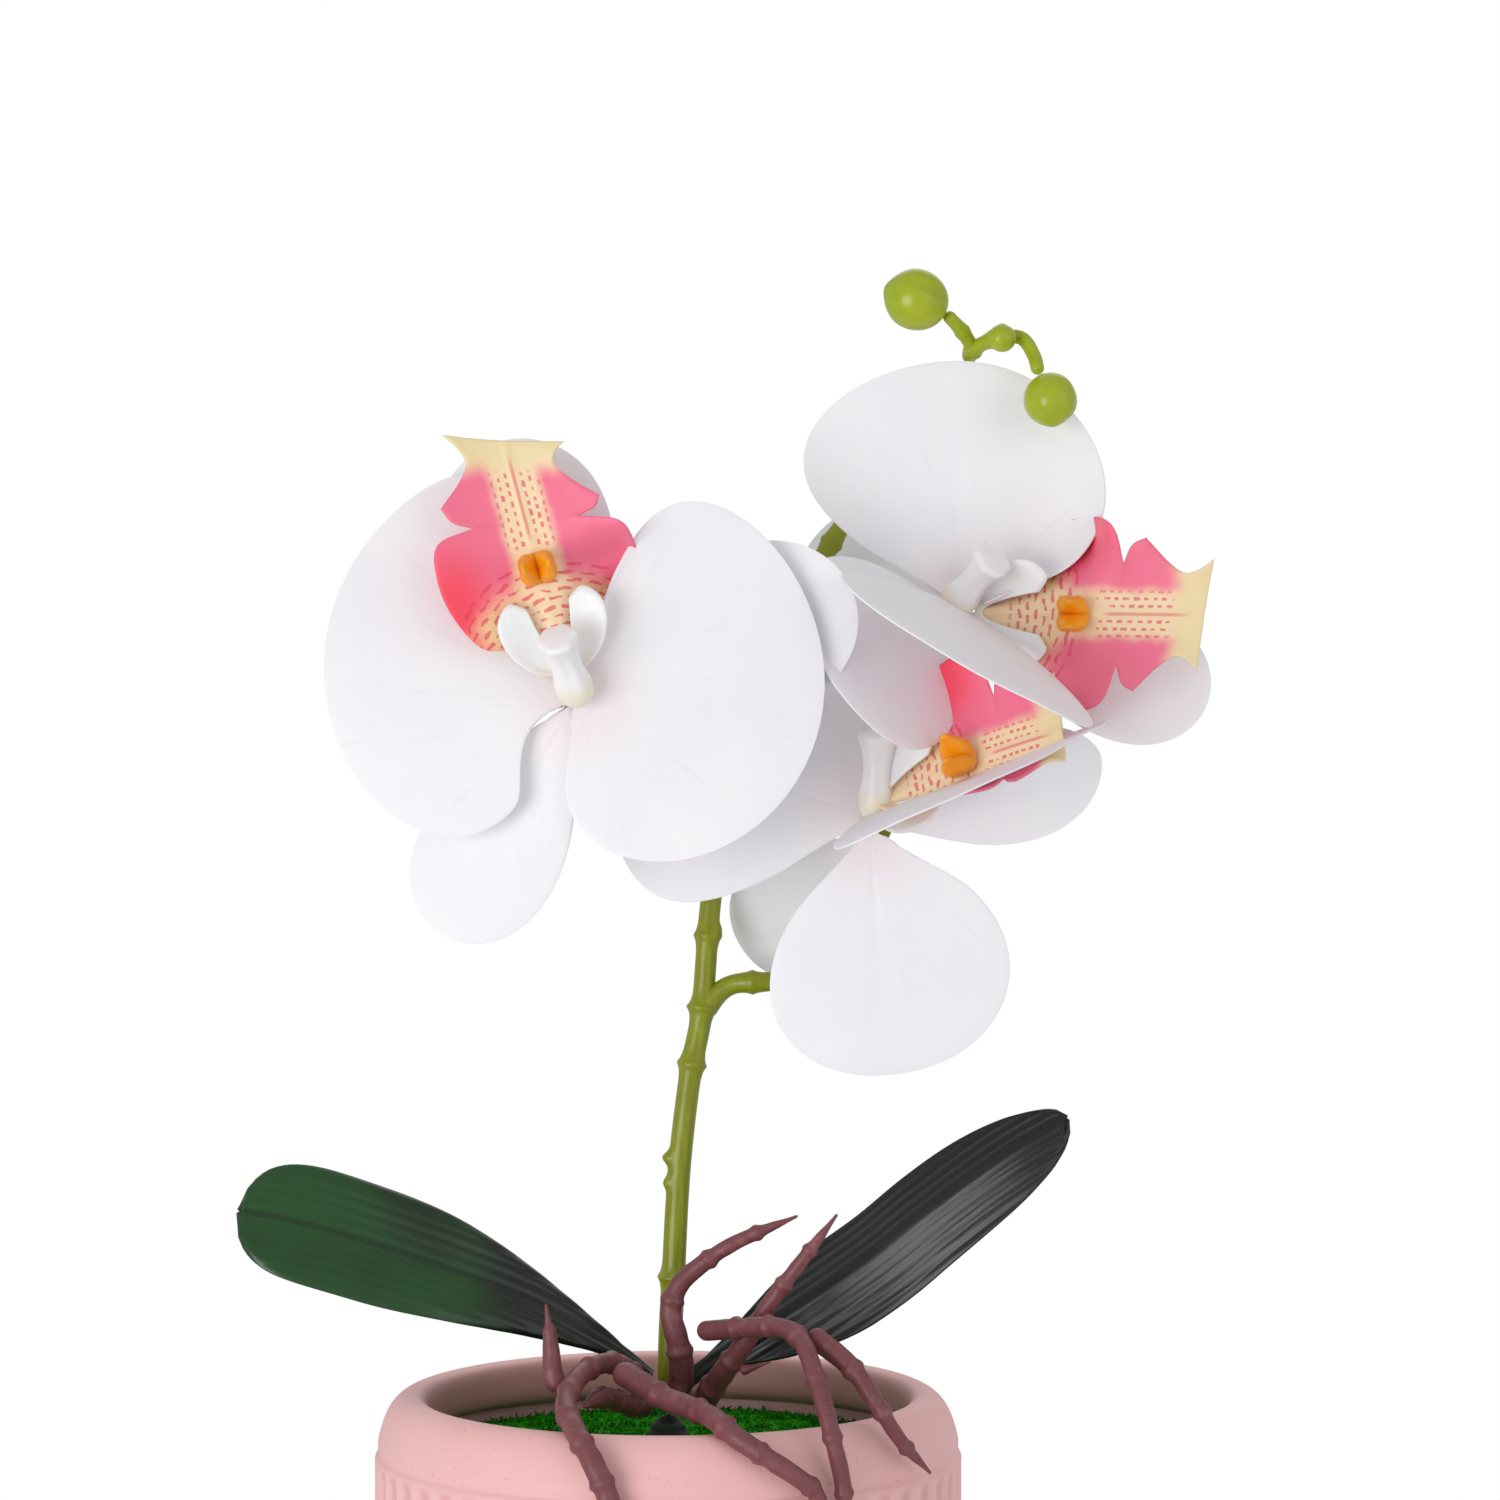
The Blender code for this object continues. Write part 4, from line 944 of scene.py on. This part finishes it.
def build_lip(bloom, spec, centre):
    """Lip, collar and crest, all set in the lip's own frame.

    The tip curls forward by a square of the distance past the curl's start, and past the tip's
    start the lip is shortened by its share. Each wing goes back behind the petal beside it, or
    forward if negative, by a smooth step of the turn from the middle line, and beside the stripe
    its width is multiplied by its share.
    """
    along, facing, level, slide, scale, skew, (curl, tip), (left_wing, right_wing) = spec
    turned_by = frame_of(along, facing)

    def set_down(local, higher=0.0):
        return (local * scale + np.array([0, slide, level + higher])) @ turned_by + centre

    local, flat = folded_grid(LIP_EDGE, LIP_MIDDLE, skew, 61)
    share = np.abs(np.linspace(-1, 1, 61))[None, :]
    rows = np.linspace(0, 1, len(local))[:, None]
    local[..., 2] += 0.5 * np.sin(rows * 16) * share ** 3 + 0.25 * bump(local[..., 0], 0.8)
    local[..., 2] += curl * np.maximum(local[..., 1] - CURL_START, 0) ** 2
    local[..., 1] -= (1 - tip) * np.maximum(local[..., 1] - TIP_START, 0)
    aside = np.arctan2(flat[..., 0], flat[..., 1])
    back = left_wing[0] * ease(-0.12, -0.7, aside) + right_wing[0] * ease(0.12, 0.7, aside)
    local[..., 2] -= back * ease(30, 22, flat[..., 1])
    beyond = np.maximum(np.abs(local[..., 0]) - STRIPE_HALF, 0)
    wide = np.where(local[..., 0] < 0, left_wing[1], right_wing[1])
    local[..., 0] -= np.sign(local[..., 0]) * beyond * (1 - wide)
    thick = LIP_THICK * scale * np.sqrt(1 - 0.85 * share ** 30) * np.sqrt(1 - 0.8 * rows ** 60)
    add_piece(f"{bloom}_lip_printed", sheet_shell(set_down(local), thick), "lip_foam",
              [f"{bloom}_lip"], flat_map(flat))

    local, flat = folded_grid(COLLAR_EDGE, COLLAR_MIDDLE, 0, 41)
    share = np.abs(np.linspace(-1, 1, 41))[None, :]
    local[..., 2] += 0.8 * ease(0.3, 1.0, share)
    thick = LIP_THICK * scale * np.sqrt(1 - 0.7 * share ** 20) * np.ones((len(local), 1))
    add_piece(f"{bloom}_collar_ears", sheet_shell(set_down(local, COLLAR_LIFT), thick),
              "white_plastic", [f"{bloom}_collar"], flat_map(flat))

    # two horns on one root: a flattened rod bent in a deep U, wide at the root, thin at the tips
    half = [(-2.6, 0.9, 8.4), (-2.3, 0.6, 6.4), (-1.9, 0.2, 4.0), (-1.1, 0, 2.2)]
    route = half + [(0, 0, 1.6)] + [(-x, y, z) for x, y, z in half[::-1]]

    def horn_radius(run, outward):
        end = np.minimum(run, run.max() - run)
        flatness = 1 + 0.95 * outward[..., 1] ** 2
        return (0.45 + 1.15 * ease(0, 5, end)) * flatness

    crest = rod(route, horn_radius, 24, 0.35) + np.array([0, CREST_START, -0.2])
    add_piece(f"{bloom}_callus_horns", closed_skin(set_down(crest)), "callus_plastic",
              [f"{bloom}_callus"])


def build_column(bloom, spec, centre):
    """Column: a rod of six soft sides, narrow above its foot, swelling into a cap with a blunt
    beak at the front."""
    pointing, tall, start = spec
    ahead = unit(np.array(pointing, float))
    foot = centre + np.array(start)
    profile = curve_through([(2.6, -1.6), (3.5, 0), (3.6, 2.4), (3.0, 5), (2.8, 8), (3.3, 11),
                             (3.9, 12.8), (3.5, 13.7), (1.8, 14.0)], 8)
    frame_rows = frame_of(ahead, (0.1, -0.9, -0.4))
    turn = (2 * np.pi * np.arange(48) / 48)[None, :]
    sides = 1 + 0.05 * np.cos(6 * turn) * ease(0.5, 4, profile[:, 1:])
    beak = 1 + 0.18 * bump(np.angle(np.exp(1j * (turn - 1.57))), 0.5) * ease(9, 13, profile[:, 1:])
    radius = profile[:, :1] * sides * beak
    grid = (radius[..., None] * (np.cos(turn)[..., None] * frame_rows[0]
                                 + np.sin(turn)[..., None] * frame_rows[2])
            + (profile[:, 1:] * tall / profile[-1, 1])[..., None] * ahead + foot)
    grid = grid[:, ::-1]
    along = np.broadcast_to(profile[:, 1:], grid.shape[:2])
    flat = np.stack([0.5 + 0 * along, along / FLAT_SPAN + 0.5], axis=-1)
    add_piece(f"{bloom}_column_cap", closed_skin(grid), "white_plastic", [f"{bloom}_column"],
              with_poles(flat))


def build_calyx(bloom, tail, centre):
    """Calyx: a small turned cup on the end of the shoot, its axis along the tail."""
    tail = unit(np.array(tail, float))
    profile = curve_through([(0.01, 0), (2.6, 0), (3.0, 0.3), (2.7, 1.0), (1.9, 2.1),
                             (0.01, 2.2)], 6)
    turned_by = np.array(Vector(tail).to_track_quat("Z", "Y").to_matrix())
    grid = turned(profile[1:-1], 30) @ turned_by.T + centre + tail * CALYX_LEVEL
    add_piece(f"{bloom}_calyx_cup", closed_skin(grid), "stem_plastic", [f"{bloom}_calyx"])


def build_blooms():
    """Every bloom: five blades, lip with collar and crest, column and calyx."""
    for number, (bloom, spec) in enumerate(BLOOMS.items()):
        centre = np.array(spec["centre"])
        axis = unit(np.array(spec["axis"], float))
        for order, (part, blade) in enumerate(spec["blades"].items()):
            build_blade(bloom, part, blade, centre, axis, 10 * number + order)
        build_lip(bloom, spec["lip"], centre)
        build_column(bloom, spec["column"], centre)
        build_calyx(bloom, spec["tail"], centre)


# ---- studio

def add_light(name, spot, look_at, size, power):
    """White square area light aimed at a point."""
    lamp = bpy.data.lights.new(name, "AREA")
    lamp.size = size
    lamp.energy = power
    holder = bpy.data.objects.new(name, lamp)
    holder.location = spot
    holder.rotation_euler = (Vector(look_at) - Vector(spot)).to_track_quat("-Z", "Y").to_euler()
    bpy.context.scene.collection.objects.link(holder)


def build_studio():
    """Pale round floor, white surroundings, three soft lights and the camera."""
    scene = bpy.context.scene
    scene.view_settings.view_transform = "Standard"
    grid = turned([(0.01, FLOOR_LEVEL), (FLOOR_RADIUS / 2, FLOOR_LEVEL),
                   (FLOOR_RADIUS, FLOOR_LEVEL), (FLOOR_RADIUS, -3), (0.01, -3)], 96)
    points, faces = closed_skin(grid)
    mesh = bpy.data.meshes.new("floor")
    mesh.from_pydata((points * MM).tolist(), [], [face[::-1] for face in faces])
    material, tree = new_finish("pale_floor", 0.8)
    shade = blend(tree, noise(tree, place(tree), 6.0), "#F1F1F2", "#F4F4F5")
    mesh.materials.append(dressed(material, shade))
    floor = bpy.data.objects.new("floor", mesh)
    scene.collection.objects.link(floor)

    world = bpy.data.worlds.new("studio")
    scene.world = world
    world.use_nodes = True
    tree = world.node_tree
    sky = tree.nodes["Background"]
    sky.inputs[0].default_value = (1, 1, 1, 1)
    seen = add(tree, "LightPath").outputs["Is Camera Ray"]
    tree.links.new(calc(tree, "MULTIPLY_ADD", seen, 0.42, 0.58), sky.inputs[1])

    add_light("key", (-0.7, -1.0, 0.1), (0.0, -0.02, 0.2), 0.7, 6.4)
    add_light("fill", (0.9, -0.9, 0.45), (0.02, 0.0, 0.2), 0.9, 1.8)
    add_light("back", (0.1, 0.9, 0.9), (0.0, 0.0, 0.2), 0.8, 1.5)

    lens = bpy.data.cameras.new("camera")
    lens.lens = LENS
    lens.sensor_width = SENSOR
    camera = bpy.data.objects.new("camera", lens)
    pitch = math.radians(CAMERA_PITCH)
    camera.location = Vector(CAMERA_AIM) + Vector((0, -math.cos(pitch), math.sin(pitch)))
    camera.rotation_euler = (math.pi / 2 - pitch, 0, 0)
    scene.collection.objects.link(camera)
    scene.camera = camera


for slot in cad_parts["filler_core"].material_slots:
    slot.material = FINISHES["filler_foam"]
build_pot()
build_moss()
build_sleeve()
build_stems()
build_buds()
build_roots()
build_leaves()
build_blooms()
build_studio()
